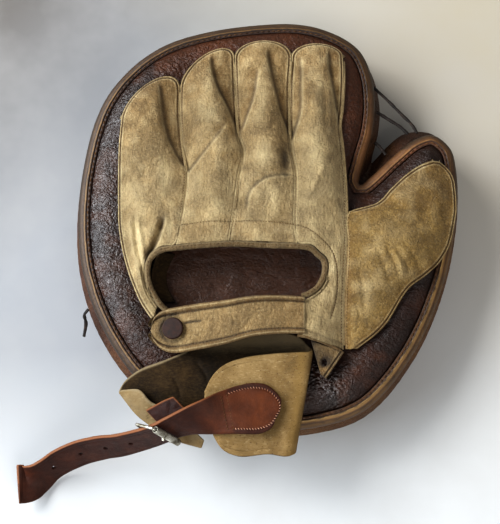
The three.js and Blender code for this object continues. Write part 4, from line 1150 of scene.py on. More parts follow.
# The outline moved inwards by a distance, lying on the panel's own heights
def insideOutline(top, inset):
    line = alongLine(panelOutline(top), np.linspace(0, 1, 320))
    run = unit(np.gradient(line[:, :2], axis=0))
    moved = line[:, :2] + np.stack([run[:, 1], -run[:, 0]], 1) * inset
    height = nearestHeight(moved, top)
    smooth = np.convolve(np.pad(height, 4, mode="edge"), np.ones(9) / 9, mode="valid")
    return np.column_stack([moved, smooth])


# Edge of a panel by distance from its outline: where it is free it has a welt, a sewn groove and an
# inner line; where it is sewn to its neighbour it rolls down into the seam
def edgeRelief(away, free, sewn=0.8):
    loose = 0.32 * bell(away - 0.45, 0.4) - 0.5 * bell(away - 1.4, 0.42) + 0.34 * bell(away - 2.4, 0.5)
    return free * loose - (1 - free) * sewn * np.exp(-away / 0.9) - 0.4 * (0.25 + 0.75 * free) * np.exp(-away / 0.25)


def edgeMarks(x, y, away, free):
    broken = 0.75 + 0.35 * softNoise(x, y, 5.0, 33)
    pale = free * broken * (0.85 * bell(away - 0.35, 0.4) + 0.7 * bell(away - 2.45, 0.42))
    pale = pale + (1 - free) * broken * 0.75 * bell(away - 0.9, 0.4)
    grime = free * 0.8 * bell(away - 1.4, 0.42) + (1 - free) * 0.2 * bell(away, 0.7) + 0.3 * bell(away, 0.16)
    return pale, grime


# Share of a free edge: all of it at the tip, and each side's own share lower down
def freeShare(u, v, shape):
    tip = bell(v / shape["freeTip"], 1.0)
    left, right = shape["free"]
    side = left * (1 - u) + right * u * (1 - shape.get("sewnLow", 0) * easeIn((v - 0.26) / 0.16))
    return np.clip(tip + (1 - tip) * side, 0, 1)


crossSeam = {
    "path": [(-44.1, 17.1), (-32.4, 17.8), (-19.4, 19.0), (-1.7, 19.4), (16.7, 18.9), (38.2, 17.3), (47.3, 14.7),
             (56.9, 8.1), (64.4, 0.1), (67.8, -10.1), (68.4, -21.8), (66.9, -34.2), (63.2, -46.7)],
    "pitch": 1.9,
    "hemRise": 0.35,
    "hemWidth": 11.0,
}


def fingerPanel(node, shape):
    left, right = seamLine(shape["left"]), seamLine(shape["right"])
    v = (np.linspace(0, 1, stalls["rows"]) ** 1.25)
    u = crowded(stalls["columns"], 0.72)[None, :]
    start, end = alongLine(left, v), alongLine(right, v)
    start[:, 0] += stalls["seamGap"] / 2
    end[:, 0] -= stalls["seamGap"] / 2
    v = v[:, None]
    x = start[:, :1] * (1 - u) + end[:, :1] * u
    arch = shape["arch"] * np.sqrt(np.maximum(0, 1 - (2 * u - 1) ** 2)) * (1 - v)
    y = start[:, 1:2] * (1 - u) + end[:, 1:2] * u + arch
    base = start[:, 2:] * (1 - u) + end[:, 2:] * u
    tube = np.sin(np.pi * u)
    puff = stalls["puff"] * tube**0.8 * bell(y - 104, 46)
    rise = readTable(fingerRise, "y", "rise", y) * tube**1.2 + puff
    folds = [foldAt(x, y, step) for step in shape["steps"]]
    low = [lowSide(*fold, step) for fold, step in zip(folds, shape["steps"])]
    for step, share in zip(shape["steps"], low):
        rise = rise - step["drop"] * share
    for crease in shape["grooves"]:
        rise = rise - grooveDepth(x, y, crease)
    onSkin = skinHeight(x, y) + leather["lay"]
    tip = np.sin(np.clip(v / shape["tip"], 0, 1) * np.pi / 2)
    raised = smoothMax(base + rise, onSkin - 0.4, 0.7)
    height = onSkin * (1 - tip) + raised * tip
    outline = panelOutline(np.stack([x, y, height], 2))
    away, _, _ = nearestOn(x, y, alongLine(outline, np.linspace(0, 1, stalls["outlineSteps"])))
    free = freeShare(u, v, shape)
    inner = np.clip(away / 4, 0, 1)
    hills = softNoise(x, y, 6.5, 41)
    cross, crossAt, crossSide = nearestOn(x, y, spline(crossSeam["path"], 8))
    sewn = crossAt > 0.001
    under = (crossSide < 0) * sewn * (crossAt < 0.999)
    height = height - 0.45 * bell(cross, 0.55) * sewn + crossSeam["hemRise"] * under * (
        1 - np.exp(-cross / 0.8)) * np.clip((crossSeam["hemWidth"] - cross) / 2, 0, 1)
    flat = easeIn((78 - y) / 30)
    height = height + edgeRelief(away, free, 0.8 - 0.55 * flat) + inner * (
        0.45 * hills + 0.18 * softNoise(x, y, 2.4, 42)
        + 0.16 * softNoise(x * 2.4, y * 0.5, 2.0, 43))
    if "hem" in shape:
        fromHem, _, _ = nearestOn(x, y, np.array(shape["hem"], float))
        hem = bell(fromHem - 1.5, 1.1)
        height = height + 0.9 * hem - 0.7 * bell(fromHem - 3.6, 0.5)
    top = np.stack([x, y, height], 2)
    points, faces, border = wallBelow(top, leather["wall"], stalls["edgeBulge"])
    wings = np.clip(sum(step["gold"] * share for step, share in zip(shape["steps"], low)), 0, 1)
    wings = wings * (0.75 + 0.4 * softNoise(x, y, 4.0, 44))
    nearTip = bell(v * 150, 24) * np.ones(x.shape)
    pale, grime = edgeMarks(x, y, away, free)
    grime = grime * (1 - 0.8 * flat * (1 - free))
    # Painted shade: darkStep darkens the low side of each fold step, and the hollows between hills and the leather
    # along sewn seams are darkened. Painted highlight: crest lightens the high side of each fold, and the hill tops
    # are lightened
    darkStep = sum(bell(signed - 0.6, 1.3) * ends for signed, ends in folds)
    crest = sum(bell(signed + 1.0, 0.8) * ends for signed, ends in folds)
    pale = pale + 0.4 * crest + 0.3 * np.clip(hills, 0, 1) + 0.16 * np.clip((85 - y) / 40, 0, 1)
    pale = pale + 0.2 * easeIn((x - 30) / 20) * easeIn((110 - y) / 40)
    grime = grime + 0.14 * np.clip(-hills, 0, 1) + (1 - free) * 0.3 * np.exp(-away / 2.4) * (1 - 0.6 * flat)
    if "hem" in shape:
        grime = grime + 0.35 * bell(fromHem - 3.6, 0.5) + 0.3 * hem
        pale = pale + 0.3 * bell(fromHem - 2.9, 0.4)
    gold = 0.7 * wings + 0.35 * nearTip * (1 - wings) + 0.25 * under * bell(cross - 5, 6)
    grime = spots(x, y, shape["stains"]) + grime + 0.5 * darkStep + 0.4 * bell(cross, 0.4) * sewn
    # Pale spots: painted highlights on knuckles and ridges, with some worn patches
    pale = spots(x, y, shape["pales"]) + pale
    marks = wallMarks(border, gold=(gold, 0.8), grime=(grime, 0.9), pale=(pale, 0.9))
    makePiece(shape["piece"], points, faces, "tan", "tan_leather", [node], marks)
    return top


# Thumb panel: straight rows between its two edges, raised in the middle
thumb = {
    "rows": 190,
    "columns": 96,
    "edges": columns("y left right", [
        (65.2, 136.5, 141.5), (62, 127.6, 146.5), (55, 117, 151.2), (45, 106.3, 152.8), (35, 96.2, 153.2),
        (28.5, 77.0, 152.8), (7, 75.6, 147.6), (-6, 75.0, 139.8), (-16, 74.2, 129.2), (-23.5, 73.8, 119),
        (-31, 73.4, 113), (-48, 73.0, 102.5), (-57, 73.1, 94), (-66.5, 73.4, 81.5),
    ]),
    "rise": columns("y rise", [(65, 0), (50, 4.5), (30, 8.5), (10, 10.5), (-12, 8.5), (-35, 5), (-66, 2)]),
    "grooves": [
        groove(1.3, 0.9, (108, 2), (114, -6), (118, -16)),
        groove(1.4, 1.0, (101, 3), (107, -8), (111, -20)),
        groove(1.2, 0.7, (113, 6), (121, -3), (125, -12)),
        groove(1.8, 1.0, (94, 4), (99, -8), (104, -24)),
        groove(1.1, -0.7, (104.5, 2), (110.5, -7), (114, -18)),
        groove(2.2, 1.2, (82, -10), (86, -28), (86, -46)),
        groove(1.5, 0.8, (79, -30), (83, -44), (80, -58)),
    ],
    "stains": spotTable((84, 22, 10, 5, 0.2), (120, 46, 16, 8, 0.14), (146, 20, 5, 22, 0.14)),
    "pales": spotTable((108, 12, 14, 8, 0.2), (88, -30, 5, 14, 0.3), (104, -10, 6, 8, 0.2)),
}


def thumbPanel():
    rows = crowded(thumb["rows"], 0.5)[:, None]
    edges = thumb["edges"]
    y = edges["y"].max() * (1 - rows) + edges["y"].min() * rows
    left, right = readTable(edges, "y", "left", y), readTable(edges, "y", "right", y)
    u = crowded(thumb["columns"], 0.5)[None, :]
    x = left * (1 - u) + right * u
    y = y * np.ones(x.shape)
    seamHeight = readTable(seams["indexEdge"], "y", "z", y[:, :1])
    onLeft = skinHeight(left, y[:, :1]) + leather["lay"]
    leftHeight = np.where(y[:, :1] < 29, np.maximum(seamHeight, onLeft), onLeft)
    rightHeight = skinHeight(right, y[:, :1]) + leather["lay"]
    rise = readTable(thumb["rise"], "y", "rise", y) * np.sin(np.pi * u)
    height = leftHeight * (1 - u) + rightHeight * u + rise
    for crease in thumb["grooves"]:
        height = height - grooveDepth(x, y, crease)
    height = smoothMax(height, skinHeight(x, y) + leather["lay"], 1.6)
    outline = panelOutline(np.stack([x, y, height], 2))
    away, _, _ = nearestOn(x, y, alongLine(outline, np.linspace(0, 1, stalls["outlineSteps"])))
    inner = np.clip(away / 4, 0, 1)
    free = np.clip(np.clip((x - 79) / 5, 0.05, 1) + np.clip((y - 27) / 3, 0, 1), 0, 1)
    hills = softNoise(x, y, 8, 51)
    height = height + edgeRelief(away, free, 0.25) + inner * (0.55 * hills + 0.2 * softNoise(x, y, 2.6, 52))
    top = np.stack([x, y, height], 2)
    points, faces, border = wallBelow(top, leather["wall"], stalls["edgeBulge"])
    pale, grime = edgeMarks(x, y, away, free)
    grime = grime * (0.15 + 0.85 * free)
    low = bell(np.maximum(y + 20, 0), 18)
    gold = 0.3 * bell(away, 6) + 0.25 * bell(y - 40, 22) + 0.5 * low * bell(away, 3.5)
    # Painted shade in the hollows between the hills, and painted highlight on their tops, along with stains, edge
    # marks and worn patches
    grime = spots(x, y, thumb["stains"]) + grime + 0.2 * np.clip(-hills, 0, 1)
    pale = spots(x, y, thumb["pales"]) + pale * (1 - 0.5 * low) + 0.25 * np.clip(hills, 0, 1)
    marks = wallMarks(border, gold=(gold, 0.7), grime=(grime, 0.9), pale=(pale, 0.8))
    makePiece("thumbStall", points, faces, "thumb", "tan_leather", ["thumb_stall"], marks)
    return top


# Sewing of the panels: the groove in each free edge, the cross seam over the window, and a welt
# under each seam between two panels
sewing = {"inset": 1.4, "pitch": 2.0, "thread": 0.22, "weltRadius": 1.3, "weltDrop": 1.35,
          "shares": {"little_stall": (0.0, 0.78), "ring_stall": (0.28, 0.72), "middle_stall": (0.26, 0.74),
                     "index_stall": (0.36, 1.0)}}


def makePanelSewing():
    parts = []
    for node, top in panelTops.items():
        inner = insideOutline(top, sewing["inset"])
        if node != "thumb_stall":
            inner = alongLine(inner, np.linspace(*sewing["shares"][node], 260))
        parts.append(stitchArrays(inner, sewing["pitch"], 0.62, sewing["thread"], 0.18))
    makeThreads("panelStitches", parts, "darkThread", "tan_leather")
    path = alongLine(spline(crossSeam["path"], 10), np.linspace(0.01, 0.99, 160))
    tops = np.concatenate([top.reshape(-1, 3) for top in panelTops.values()])
    line = np.column_stack([path, nearestHeight(path, tops)])
    stitches = stitchArrays(line, crossSeam["pitch"], 0.55, 0.26, 0.2, lean=0.25)
    makeThreads("crossStitches", [stitches], "darkThread", "tan_leather")
    welts = []
    for name in ("littleRing", "ringMiddle", "middleIndex", "indexEdge"):
        line = alongLine(seamLine([name]), np.linspace(0.02, 0.985, 160))
        line[:, 2] -= sewing["weltDrop"]
        welts.append(tubeArrays(line, sewing["weltRadius"], 10))
    makePiece("seamWelts", *joinArrays(welts), "tan", "tan_leather", (),
              {"gold": 0, "grime": 0.05, "pale": 0.25})


# Tops of the panels, for what is sewn to them
panelTops = {node: fingerPanel(node, shape) for node, shape in stalls["shapes"].items()}
panelTops["thumb_stall"] = thumbPanel()
makePanelSewing()
print("hand back made")


# Bead rolled inside the window's edge, with its stitches
bead = {"radius": 2.1, "gap": 0.3, "drop": 0.7, "sides": 20, "points": 420, "pitch": 2.6}


def windowEdge():
    left = sideBySide(seams["windowLeft"], "x y z")[::-1]
    right = sideBySide(seams["windowRight"], "x y z")[:7]
    top = np.array([[-42.4, 3.6, 72], [-5.1, 6, 74], [20, 5, 74], [41.1, 4.4, 73.5]])
    return np.vstack([[(-49.5, -42.5, 59.5)], left, top, right, [(44.6, -33.4, 67)]])


def makeWindowBead():
    edge = windowEdge()
    step = np.zeros((len(edge), 2))
    step[1:-1] = edge[2:, :2] - edge[:-2, :2]
    step[0], step[-1] = edge[1, :2] - edge[0, :2], edge[-1, :2] - edge[-2, :2]
    step = unit(step)
    inward = bead["radius"] + bead["gap"]
    path = edge.copy()
    path[:, 0] += step[:, 1] * inward
    path[:, 1] -= step[:, 0] * inward
    path[:, 2] -= bead["drop"]
    line = alongLine(spline(path, 24), np.linspace(0, 1, bead["points"]))
    share = np.linspace(0, 1, len(line))
    radius = bead["radius"] * (1 + 0.07 * lineNoise(share * 300, 6, 71)
                               + 0.03 * lineNoise(share * 300, 1.5, 72))
    outer = np.tile(np.cos(np.arange(bead["sides"]) / bead["sides"] * 2 * np.pi), len(line))
    outer = np.concatenate([outer, [0, 0]])
    marks = {"gold": 0.2, "grime": 0.46, "pale": 0.5 * bell(outer + 0.62, 0.2)}
    makePiece("windowRoll", *tubeArrays(line, radius, bead["sides"]), "tan", "tan_leather",
              ["window_bead"], marks)
    inner = line.copy()
    inner[:, 2] += radius * 0.98
    stitches = stitchArrays(inner[6:-6], bead["pitch"], 0.6, 0.2, 0.16)
    makeThreads("beadStitches", [stitches], "darkThread", "tan_leather")


# Roll that goes on from the band's lower edge, under the index panel's hem, to the thumb's seam
hemRoll = {"line": [(40.5, -58.2, 69.6), (45, -58.8, 69.8), (52, -60.6, 67.6), (59, -62.9, 65), (66, -66, 62.6),
                    (71.5, -69.4, 60.8)], "radius": 1.55, "sides": 18, "points": 150}


def makeHemRoll():
    line = alongLine(spline(hemRoll["line"], 20), np.linspace(0, 1, hemRoll["points"]))
    share = np.linspace(0, 1, len(line))
    radius = hemRoll["radius"] * (1 + 0.08 * lineNoise(share * 60, 3, 75)) * (1 - 0.3 * share)
    makePiece("indexHemRoll", *tubeArrays(line, radius, hemRoll["sides"]), "tan", "tan_leather", (),
              {"gold": 0.6, "grime": 0.4, "pale": 0})


# Wall of the pocket seen at the window's left end: a sheet that bows out and runs down
pouch = {"rows": 60, "columns": 22, "thickness": 1.5}


def makePouch():
    t = np.linspace(0, 1, pouch["rows"])[:, None]
    down = np.linspace(0, 1, pouch["columns"])[None, :]
    y = -33 + 33 * t + down * 0
    x = -52.5 - 6 * np.sin(np.pi * t) + 9 * down
    start = readTable(seams["windowLeft"], "y", "z", y) - 6
    height = start * (1 - down**0.8) + 51.5 * down**0.8
    height = height + 0.5 * softNoise(x, y, 6, 81) * np.sin(np.pi * down)
    top = np.stack([x, y, height], 2)
    points, faces, border = wallBelow(top, pouch["thickness"])
    # Painted shade: the pouch wall darkens as it runs down into the pocket
    marks = wallMarks(border, shade=(0.35 * down + 0 * x, 1))
    makePiece("pouchLining", points, faces, "cuff", "flesh_leather", ["pouch_wall"], marks)


# Wrist band: sections from the button end to the thumb side; both long edges are rolled, and the
# leather dishes round the button
band = {
    "rows": 230,
    "columns": 64,
    "thickness": 2.6,
    "sections": columns("x top low height", [
        (-58.8, -50.5, -57, 60.6), (-57, -45.2, -61.5, 60.8), (-51.5, -40.6, -67.3, 61.8),
        (-43, -38.6, -69.8, 63.5), (-28, -36.8, -68.3, 68.5), (-9, -34.9, -65, 72.6),
        (9.8, -32.3, -60, 75), (28.6, -31.7, -58, 74.5), (45.2, -32.3, -57.7, 71.9),
    ]),
    "across": columns("across proud", [
        (0, -0.2), (0.03, 0.85), (0.07, 1.35), (0.115, 0.9), (0.145, -0.6), (0.17, -0.45), (0.3, 0.2), (0.5, 0.5),
        (0.7, 0.2), (0.83, -0.45), (0.855, -0.6), (0.885, 0.9), (0.93, 1.35), (0.97, 0.85), (1, -0.2),
    ]),
    "dish": {"x": -43.6, "y": -53.4, "radius": 9.5, "depth": 2.2},
    "slit": [(-36.0, -49.6), (-30.5, -48.9), (-25.0, -48.6)],
    "sewnAt": (0.15, 0.85),
    "pitch": 2.5,
}


def makeBand():
    sections = band["sections"]
    u = (np.linspace(0, 1, band["rows"]) ** 1.25)[:, None]
    x = sections["x"][0] * (1 - u) + sections["x"][-1] * u
    across = crowded(band["columns"], 0.3)[None, :]
    low = readTable(sections, "x", "low", x)
    high = readTable(sections, "x", "top", x)
    y = low * (1 - across) + high * across
    x = x + 0 * y
    height = readTable(sections, "x", "height", x)
    proud = readTable(band["across"], "across", "proud", across + 0 * x)
    dish = band["dish"]
    away = np.hypot(x - dish["x"], y - dish["y"])
    height = height + proud * np.clip((x + 60) / 4, 0, 1)
    height = height - dish["depth"] * bell(away, dish["radius"])
    slit, share, _ = nearestOn(x, y, spline(band["slit"], 8))
    height = height - 1.1 * bell(slit, 0.7) * easeIn(share / 0.1) * easeIn((1 - share) / 0.1)
    height = height + 0.22 * softNoise(x, y, 5, 91) + 0.1 * softNoise(x, y, 1.8, 92)
    top = np.stack([x, y, height], 2)
    points, faces, border = wallBelow(top, band["thickness"])
    sewnLines = sum(bell(across - at, 0.022) for at in band["sewnAt"])
    fromMiddle = np.abs(across - 0.5)
    rolled = fromMiddle * 2 > 0.74
    gold = 0.12 + 0.25 * bell(x - 40, 12) + 0.45 * rolled
    # Painted shade: dishRim darkens the left side of the dish round the button, and the slit is darkened inside.
    # Painted highlight: the thin pale line along each rolled edge
    dishRim = 0.75 * bell(away - 8.6, 1.8) * np.clip(0.6 - (x + 43.6) / 14, 0, 1)
    grime = 0.75 * sewnLines + dishRim + 0.9 * bell(slit, 0.8) + 0.18 * bell(x + 58, 8)
    grime = grime + 0.3 * rolled * (1 - 0.6 * bell(fromMiddle - 0.45, 0.02))
    pale = 0.5 * bell(fromMiddle - 0.45, 0.016) + 0.6 * bell(x - 45.1, 0.5)
    marks = wallMarks(border, gold=(gold, 0.7), grime=(grime, 0.9), pale=(pale, 1))
    makePiece("wristBand", points, faces, "tan", "tan_leather", ["wrist_band"], marks)
    stitches = []
    for at in band["sewnAt"]:
        line = top[6:-3, np.abs(across[0] - at).argmin()] + [0, 0, 0.12]
        stitches.append(stitchArrays(line, band["pitch"], 0.6, 0.22, 0.2))
    makeThreads("bandStitches", stitches, "darkThread", "tan_leather")


# Turned body: a profile of radius and height, given round its axis
def turned(profile, sides, centre, turn):
    profile, turn = np.array(profile), np.array(turn)
    angle = np.arange(sides) / sides * 2 * np.pi
    rings = np.stack([profile[:, :1] * np.cos(angle), profile[:, :1] * np.sin(angle),
                      np.repeat(profile[:, 1:], sides, 1)], 2)
    poles = np.array([[0, 0, profile[0, 1]], [0, 0, profile[-1, 1]]])
    return closedRings(rings @ turn.T + centre, poles @ turn.T + centre)


# Button: a flat disc with a thin rolled rim, leaned with the band
button = {
    "profile": [(1.0, -2.4), (5.0, -2.4), (5.2, 0), (6.9, 0.0), (7.3, 0.25), (7.45, 0.8), (7.4, 1.5), (7.15, 1.95),
                (6.75, 2.2), (6.3, 2.22), (5.8, 2.2), (5.0, 2.22), (4.0, 2.26), (2.6, 2.3), (1.2, 2.32)],
    "centre": (-43.6, -53.4, 65.6),
    "lean": -0.2,
    "sides": 72,
}


def makeButton():
    lean = button["lean"]
    turn = [[math.cos(lean), 0, math.sin(lean)], [0, 1, 0], [-math.sin(lean), 0, math.cos(lean)]]
    makePiece("snapButton", *turned(button["profile"], button["sides"], button["centre"], turn), "button",
              "button_enamel", ["wrist_button"])


# Heel tab: a small tapering panel with a lace hole; the grid's lines bend round the hole
tab = {
    "corners": [(50, -61.6, 64.8), (72.4, -69.2, 63.4), (56.4, -84, 60.5), (60, -87, 60.5)],
    "sidePoints": 24,
    "rings": 22,
    "hole": (59.0, -76.0),
    "holeSize": (1.8, 2.5),
    "thickness": 2.0,
}


def makeHeelTab():
    corners = np.array(tab["corners"], float)
    a, b, c, d = corners
    t = (np.arange(tab["sidePoints"]) / tab["sidePoints"])[:, None]
    edge = np.concatenate([start + (end - start) * t for start, end in ((a, b), (b, d), (d, c), (c, a))])
    count = len(edge)
    hole = np.array(tab["hole"])
    angle = np.arctan2(edge[:, 1] - hole[1], edge[:, 0] - hole[0])
    inner = hole + np.stack([np.cos(angle), np.sin(angle)], 1) * np.array(tab["holeSize"])
    reach = np.linspace(0, 1, tab["rings"])[:, None, None] ** 1.4
    flat = inner[None] * (1 - reach) + edge[None, :, :2] * reach
    plane = np.linalg.lstsq(np.c_[corners[:, :2], np.ones(4)], corners[:, 2], rcond=None)[0]
    height = flat[..., 0] * plane[0] + flat[..., 1] * plane[1] + plane[2]
    share = reach[..., 0] + 0 * height
    border = (1 - share) * 14
    x, y = flat[..., 0], flat[..., 1]
    toThumb, _, _ = nearestOn(x, y, corners[[1, 3], :2])
    height = height + 0.45 * bell(toThumb - 0.8, 0.6) - 0.5 * bell(toThumb - 2.0, 0.5)
    height = height + 0.5 * bell(toThumb - 3.0, 0.6) - 0.5 * bell(border, 0.6)
    height = height - 0.7 * np.exp(-share * 14 / 1.4) + 0.3 * softNoise(x, y, 4, 95)
    top = np.concatenate([flat, height[..., None]], 2)
    low = top - [0, 0, tab["thickness"]]
    grid = np.concatenate([top, low[::-1]])
    x, y = grid[..., 0], grid[..., 1]
    toThumb, _, _ = nearestOn(x, y, corners[[1, 3], :2])
    fromHole = np.hypot(x - hole[0], y - hole[1])
    grime = 0.5 + 0.25 * softNoise(x, y, 3.5, 96) + 0.35 * bell(x - 50, 4)
    grime = grime + 0.6 * bell(fromHole - 2.0, 1.6) + 0.6 * bell(toThumb - 2.0, 0.4)
    marks = {
        "gold": np.clip(0.3 + 0.6 * bell(np.hypot(x - 57.5, y + 82.5), 4.5) + 0.5 * bell(toThumb - 1.6, 1.6), 0, 0.9),
        "grime": np.clip(grime, 0, 0.9),
        "pale": np.clip(0.35 * bell(toThumb - 0.8, 0.4) + 0.25 * bell(toThumb - 3.0, 0.4), 0, 0.8),
    }
    makePiece("heelTab", grid.reshape(-1, 3), [gridQuads(len(grid), count, wrapRows=True, wrapColumns=True)],
              "tan", "tan_leather", ["heel_tab"], marks)


makeWindowBead()
makeHemRoll()
makePouch()
makeBand()
makeButton()
makeHeelTab()
print("band and window made")


# Cuff: one sheet that lies over the heel, folds up at the right and comes back as a flap; lift is
# the share of the flap's height over the drape's
cuff = {
    "rows": 330,
    "columns": 130,
    "sections": columns("handX handY wristX wristY lift", [
        (-21.6, -96.0, -21.2, -109.3, 1), (-15.9, -84.5, -15.4, -125.4, 1), (-7.8, -77.7, -9.6, -134.0, 1),
        (5.1, -73.3, 1.8, -138.4, 1), (25.5, -70.6, 20.6, -136.9, 1), (42.4, -69.6, 32.5, -138.4, 1),
        (48.6, -69.2, 37.2, -137.2, 0.84), (50.8, -67.4, 38.8, -135.6, 0.5), (48.4, -64.4, 37.0, -134.0, 0.16),
        (42.0, -58.6, 31.5, -130.0, 0), (27.0, -55.0, 16.6, -125.1, 0), (8.5, -55.0, -1.0, -121.6, 0),
        (-12.1, -59.0, -22.1, -122.3, 0), (-32.6, -67.6, -40.6, -122.8, 0), (-49.6, -75.0, -56.4, -118.2, 0),
        (-66.4, -80.6, -69.5, -109.0, 0), (-77.1, -87.5, -78.2, -98.8, 0), (-81.0, -92.4, -81.4, -95.4, 0),
    ]),
    "handHeight": 63.6,
    "wristHeight": 59.8,
    "crown": 2.6,
    "handLift": 8.0,
    "thickness": 2.0,
    "drape": columns("inset height", [
        (-30, 39.5), (-16, 43.2), (-6, 47.4), (4, 53.4), (14, 58.8), (22, 61.2), (34, 59.6), (48, 53.6),
        (62, 51.0), (90, 50.6),
    ]),
    "wrinkles": [
        [(4, -64), (18, -65.5), (34, -64.5)], [(-6, -68), (12, -69.5), (30, -69)],
        [(-30, -74), (-22, -84), (-20, -92)], [(-48, -80), (-40, -92), (-38, -104)],
    ],
}


def drapeHeight(x, y):
    return readTable(cuff["drape"], "inset", "height", rimInset(x, y))


def makeCuff():
    fine = spline(sideBySide(cuff["sections"], "handX handY wristX wristY lift"), 40)
    run = runOf(np.c_[(fine[:, :2] + fine[:, 2:4]) / 2, fine[:, 4:] * 6])
    at = np.linspace(0, 1, cuff["rows"])
    at = np.interp(at, [0, 0.06, 0.94, 1], [0, 0.03, 0.97, 1]) * run[-1]
    fine = np.stack([np.interp(at, run, fine[:, k]) for k in range(5)], 1)
    t = crowded(cuff["columns"], 0.4)[None, :]
    x = fine[:, :1] * (1 - t) + fine[:, 2:3] * t
    y = fine[:, 1:2] * (1 - t) + fine[:, 3:4] * t
    lift = np.clip(fine[:, 4:], 0, 1)
    raised = cuff["handHeight"] * (1 - t) + cuff["wristHeight"] * t + cuff["crown"] * 4 * t * (1 - t)
    height = drapeHeight(x, y) * (1 - lift) + raised * lift - cuff["thickness"] / 2
    underBand = bell(np.minimum(y, -53) + 53, 11) * bell(np.maximum(np.abs(x - 8) - 34, 0), 8)
    height = height + cuff["handLift"] * (1 - lift) * underBand
    relief = 0.3 * softNoise(x, y, 11, 101) + 0.16 * softNoise(x, y, 3.4, 102)
    lower = lift < 0.3
    for path in cuff["wrinkles"]:
        away, share, _ = nearestOn(x, y, spline(path, 8))
        relief = relief - 0.9 * bell(away, 1.4) * np.sin(np.pi * np.clip(share, 0, 1)) * lower
    ruck = np.sin((y + 62) * 1.15 + 0.9 * softNoise(x, y, 9, 103))
    relief = relief + 0.4 * ruck * bell(y + 66, 6) * bell(x - 22, 20) * lower
    ends = np.minimum(t, 1 - t) * np.hypot(fine[:, 2:3] - fine[:, :1], fine[:, 3:4] - fine[:, 1:2])
    rows = np.arange(cuff["rows"])[:, None]
    seam = 0.28 * bell(ends - 3.2, 0.5) * (lift > 0.9)
    middle = np.stack([x, y, height + relief - seam], 2)
    normal = gridNormals(middle)
    half = cuff["thickness"] / 2
    outer, inner = middle - normal * half, middle + normal * half
    points, faces, border = wallBetween(outer, inner)
    # on the flap the grain side looks up, on the lower layer the flesh side does
    flap = np.clip((lift - 0.35) / 0.4, 0, 1) + 0 * x
    upIsOuter = (normal[rows.size // 8, cuff["columns"] // 2, 2] < 0)
    one, other = (flap, 0 * flap) if upIsOuter else (0 * flap, flap)
    # Painted shade on the lower layer: darker below the band's edge and under the flap's left end, plus random darker
    # patches
    shade = (0.25 * bell(y + 60, 4) + 0.45 * bell(x + 20, 10)) * lower + 0.3 * softNoise(x, y, 12, 104)
    fray = 0.7 * bell(ends - 0.2, 0.8) * (lift < 0.1) * (x < -34) + 0.9 * bell(rows - cuff["rows"] + 1, 4)
    # Painted light: lightens the lower layer's flesh side below the band, where it lies in shadow
    fray = fray + 0.3 * bell(y + 59, 8) * lower * easeIn((x + 36) / 16)
    gold = 0.5 * bell(x - 44 - 0.12 * (y + 70), 4) * (lift > 0.5)
    marks = wallMarks(border, shade=(shade, 0.85), gold=(gold, 0.5), specks=(bell(y + 136, 6) * (lift > 0.5), 1),
                      fray=(fray, 1))
    marks["grain"] = np.concatenate([one.ravel(), other.ravel(), flap.ravel()[border] * 0.6])
    makePiece("cuffLeather", points, faces, "cuff", "tan_leather", ["wrist_cuff"], marks)
    print("cuff made")


# Left flap of the cuff: from its fold line on the heel to its free edge, each over the drape
leftFlap = {
    "rows": 150,
    "columns": 60,
    "sections": columns("foldX foldY foldLift edgeX edgeY edgeLift", [
        (-81.0, -95.6, 2.0, -79.2, -93.8, 3.0), (-76.6, -101.4, 1.8, -67.5, -94.2, 5.5),
        (-68.9, -110.5, 1.6, -59.5, -102.0, 5.0), (-56.6, -119.6, 1.6, -49.0, -107.0, 3.0),
        (-42.1, -127.5, 1.6, -37.0, -115.5, 2.0), (-25.0, -132.6, 1.6, -23.2, -127.8, 1.8),
    ]),
    "thickness": 1.6,
}


def makeLeftFlap():
    table = sideBySide(leftFlap["sections"], "foldX foldY foldLift edgeX edgeY edgeLift")
    fine = alongLine(spline(table, 30), np.linspace(0, 1, leftFlap["rows"]))
    t = crowded(leftFlap["columns"], 0.3)[None, :]
    x = fine[:, :1] * (1 - t) + fine[:, 3:4] * t
    y = fine[:, 1:2] * (1 - t) + fine[:, 4:5] * t
    height = drapeHeight(x, y) + fine[:, 2:3] * (1 - t) + fine[:, 5:] * t
    height = height + 0.2 * softNoise(x, y, 6, 111) + 0.1 * softNoise(x, y, 2, 112)
    middle = np.stack([x, y, height], 2)
    normal = gridNormals(middle)
    if normal[..., 2].sum() < 0:
        normal = -normal
    half = leftFlap["thickness"] / 2
    points, faces, border = wallBetween(middle + normal * half, middle - normal * half)
    ends = (1 - t) * np.hypot(fine[:, 3:4] - fine[:, :1], fine[:, 4:5] - fine[:, 1:2])
    marks = wallMarks(border, fray=(0.42 + 0.5 * bell(ends, 1.0) + 0.2 * softNoise(x, y, 5, 113), 1))
    upper = np.ones(x.size)
    marks.update({"grain": np.concatenate([upper, 0 * upper, upper[border]]), "gold": 0, "shade": 0, "specks": 0.6})
    makePiece("cuffLeftFlap", points, faces, "cuff", "tan_leather", ["cuff_left_flap"], marks)


makeCuff()
makeLeftFlap()


